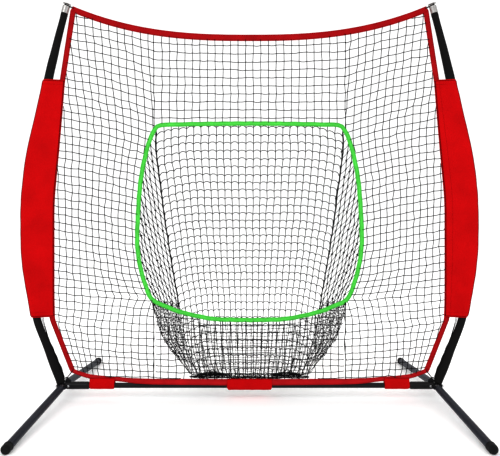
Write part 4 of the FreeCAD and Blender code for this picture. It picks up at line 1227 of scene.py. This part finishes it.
def side_sleeve(name, side):
    """The red sleeve that holds the net to the pole: one sheet wrapped round both and sewn at the net."""
    node = "side_sleeve_" + name
    low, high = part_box(node)
    heights = np.linspace(low.z + 0.001, high.z - 0.001, 200)
    centres = np.abs(pole_centre(name, heights)[:, 0])
    skins = [], []
    for height, pole_x in zip(heights, centres):
        net_x = np.abs(outline(node).cut(2, height)[:, 0]).min() + SLEEVE_EDGE_R - SLEEVE_LAP
        for skin, inset in zip(skins, (0.0, CLOTH_T)):
            ring = teardrop_ring(pole_x, net_x, inset)
            skin.append(np.column_stack([side * ring[:, 0], ring[:, 1], np.full(len(ring), height)]))
    outer, inner = np.array(skins[0]), np.array(skins[1])
    normals = unit(outer - inner)
    share = (heights - heights[0]) / (heights[-1] - heights[0])
    folds = np.zeros(outer.shape[:2])
    around = np.linspace(0, 2 * math.pi, outer.shape[1], endpoint=False)
    for _ in range(10):
        climb, turn = rng.uniform(3, 15), rng.integers(1, 4)
        size, phase = rng.uniform(0.3, 1), rng.uniform(0, 6.3)
        folds += size * np.sin(climb * share[:, None] * 6.3 + turn * around[None] + phase)
    ends = np.exp(-share / 0.05) + np.exp(-(1 - share) / 0.05)
    folds *= SLEEVE_FOLD * (0.6 + ends[:, None])
    hem = np.exp(-((share - 0.016) / 0.004) ** 2) + np.exp(-((share - 0.984) / 0.004) ** 2)
    lift = normals * (folds + SLEEVE_HEM * hem[:, None])[:, :, None]
    outer += lift
    inner += lift
    parts = MeshParts()
    if side < 0:
        outer, inner = outer[:, ::-1], inner[:, ::-1]
    parts.shell(outer, inner)
    piece = parts.build("side_sleeve_cloth_" + name, RED_CLOTH, "red_fabric", node)
    proud = outer + normals * 0.0002
    lines = [looped(proud[level]) for level in (4, -5)]
    for column in (2 * SLEEVE_ARC_POINTS - 2, outer.shape[1] - SLEEVE_ARC_POINTS + 4):
        lines.append(proud[2:-2, column])
    sewn("side_sleeve_stitches_" + name, lines, RED_THREAD, "red_fabric")
    # Dark tubes along the sleeve's edges and hems: painted shade
    side_sleeve_edge_shade(name, outer)
    girths = np.linalg.norm(np.diff(outer, axis=1), axis=2).sum(axis=1)
    length = float(distances(outer[:, 10])[-1])


# Radius and inset of the dark tubes that paint shade along a side sleeve's edges
EDGE_SHADE_R = 0.0030
EDGE_SHADE_INSET = 0.0040


def side_sleeve_edge_shade(name, outer):
    """Dark red tubes laid along a side sleeve's edges as painted shade: down the pole, down the net and round
    both hems.
    """
    parts = MeshParts()
    across, depth = np.abs(outer[len(outer) // 2, :, 0]), outer[len(outer) // 2, :, 1]
    for edge, inset in ((across.argmax(), -EDGE_SHADE_INSET), (across.argmin(), EDGE_SHADE_INSET)):
        miss = np.abs(across - across[edge] - inset)
        miss[depth > depth[edge] - 0.001] = math.inf
        parts.tube(outer[1:-1, int(miss.argmin())], EDGE_SHADE_R)
    for level in (1, -2):
        parts.tube(looped(outer[level]), EDGE_SHADE_R * 0.6)
    parts.build("side_sleeve_edge_shade_" + name, RED_EDGE_SHADE, "red_fabric")


# ---- tabs on the bar
TAB_TAPER = 0.012
TAB_T = 0.0018


def tabs():
    """Red straps round the bar, each a folded sheet whose two ends hold the binding."""
    for name in ("left", "center", "right"):
        node = "bottom_tab_" + name
        low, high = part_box(node)
        middle_x = (low.x + high.x) / 2
        axis = Vector((middle_x, 0.0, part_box("bar_half_right")[0].z + 0.0145))
        tree = outline(node).tree
        outer = []
        for angle in angles_round(56):
            direction = Vector((0.0, math.sin(angle), math.cos(angle)))
            hit = tree.ray_cast(axis + direction * 0.2, -direction)[0]
            outer.append(axis + direction * 0.03 if hit is None else hit)
        outer = np.array(outer)
        toward = unit(np.array(axis)[None] - outer)
        inner = outer + toward * TAB_T
        stations = np.linspace(low.x + 0.0005, high.x - 0.0005, 40)
        outers, inners = [], []
        for x in stations:
            edge = min(x - low.x, high.x - x)
            puff = 0.0006 * (1 - math.exp(-edge / 0.006)) + 0.0003 * math.sin(x * 95.0)
            shift = -toward * puff
            below = np.clip((axis.z - outer[:, 2]) / 0.019, 0, 1) ** 2
            along = (x - middle_x) * (1 - TAB_TAPER * below / (high.x - low.x))
            shift[:, 0] += along
            outers.append(outer + shift)
            inners.append(inner + shift)
        parts = MeshParts()
        parts.shell(outers, inners)
        piece = parts.build("tab_" + name, RED_CLOTH, "red_fabric", node)
        float(distances(outer)[-1])


# ---- elastic loops
ELASTIC_R = 0.0022
ELASTIC_INSET = 0.002
MIDDLE_Z = 1.0


def elastics():
    """Each corner's elastic: a loop through the net's corner and round the pole's tip or through the lug."""
    points = outline("corner_elastics").points
    angle = angles_round(48)
    share = (1 + np.cos(angle)) / 2
    round_end = np.sign(np.sin(angle)) * np.abs(np.sin(angle)) ** 0.35
    parts = MeshParts()
    for side in (-1, 1):
        for upper in (True, False):
            chosen = points[(points[:, 0] * side > 0) & ((points[:, 2] > MIDDLE_Z) == upper)]
            centre = chosen.mean(axis=0)
            spread = chosen - centre
            axes = np.linalg.svd(spread[:, (0, 2)], full_matrices=False)[2]
            along = np.array((axes[0][0], 0.0, axes[0][1]))
            reach = spread @ along
            start, end = reach.min() + ELASTIC_INSET, reach.max() - ELASTIC_INSET
            wide = np.abs(chosen[reach > reach.max() - 0.02][:, 1]).max() - ELASTIC_INSET
            narrow = np.abs(chosen[reach < reach.min() + 0.02][:, 1]).max() - ELASTIC_INSET
            width = (narrow + (wide - narrow) * share) * round_end
            loop = centre + along * (start + (end - start) * share)[:, None] + WORLD_Y * width[:, None]
            loop[:, 1] -= centre[1]
            parts.tube(loop, ELASTIC_R, sides=10, closed=True)
    parts.build("elastic_loops", ELASTIC, "elastic_cord", "corner_elastics")


# ---- build
make_camera()
make_studio()
finish_cad_nodes()
flat_netting()
pocket_netting()
bindings()
rim()
for side_name, side_sign in SIDES:
    pole_cover(side_name, side_sign)
    side_sleeve(side_name, side_sign)
tabs()
elastics()
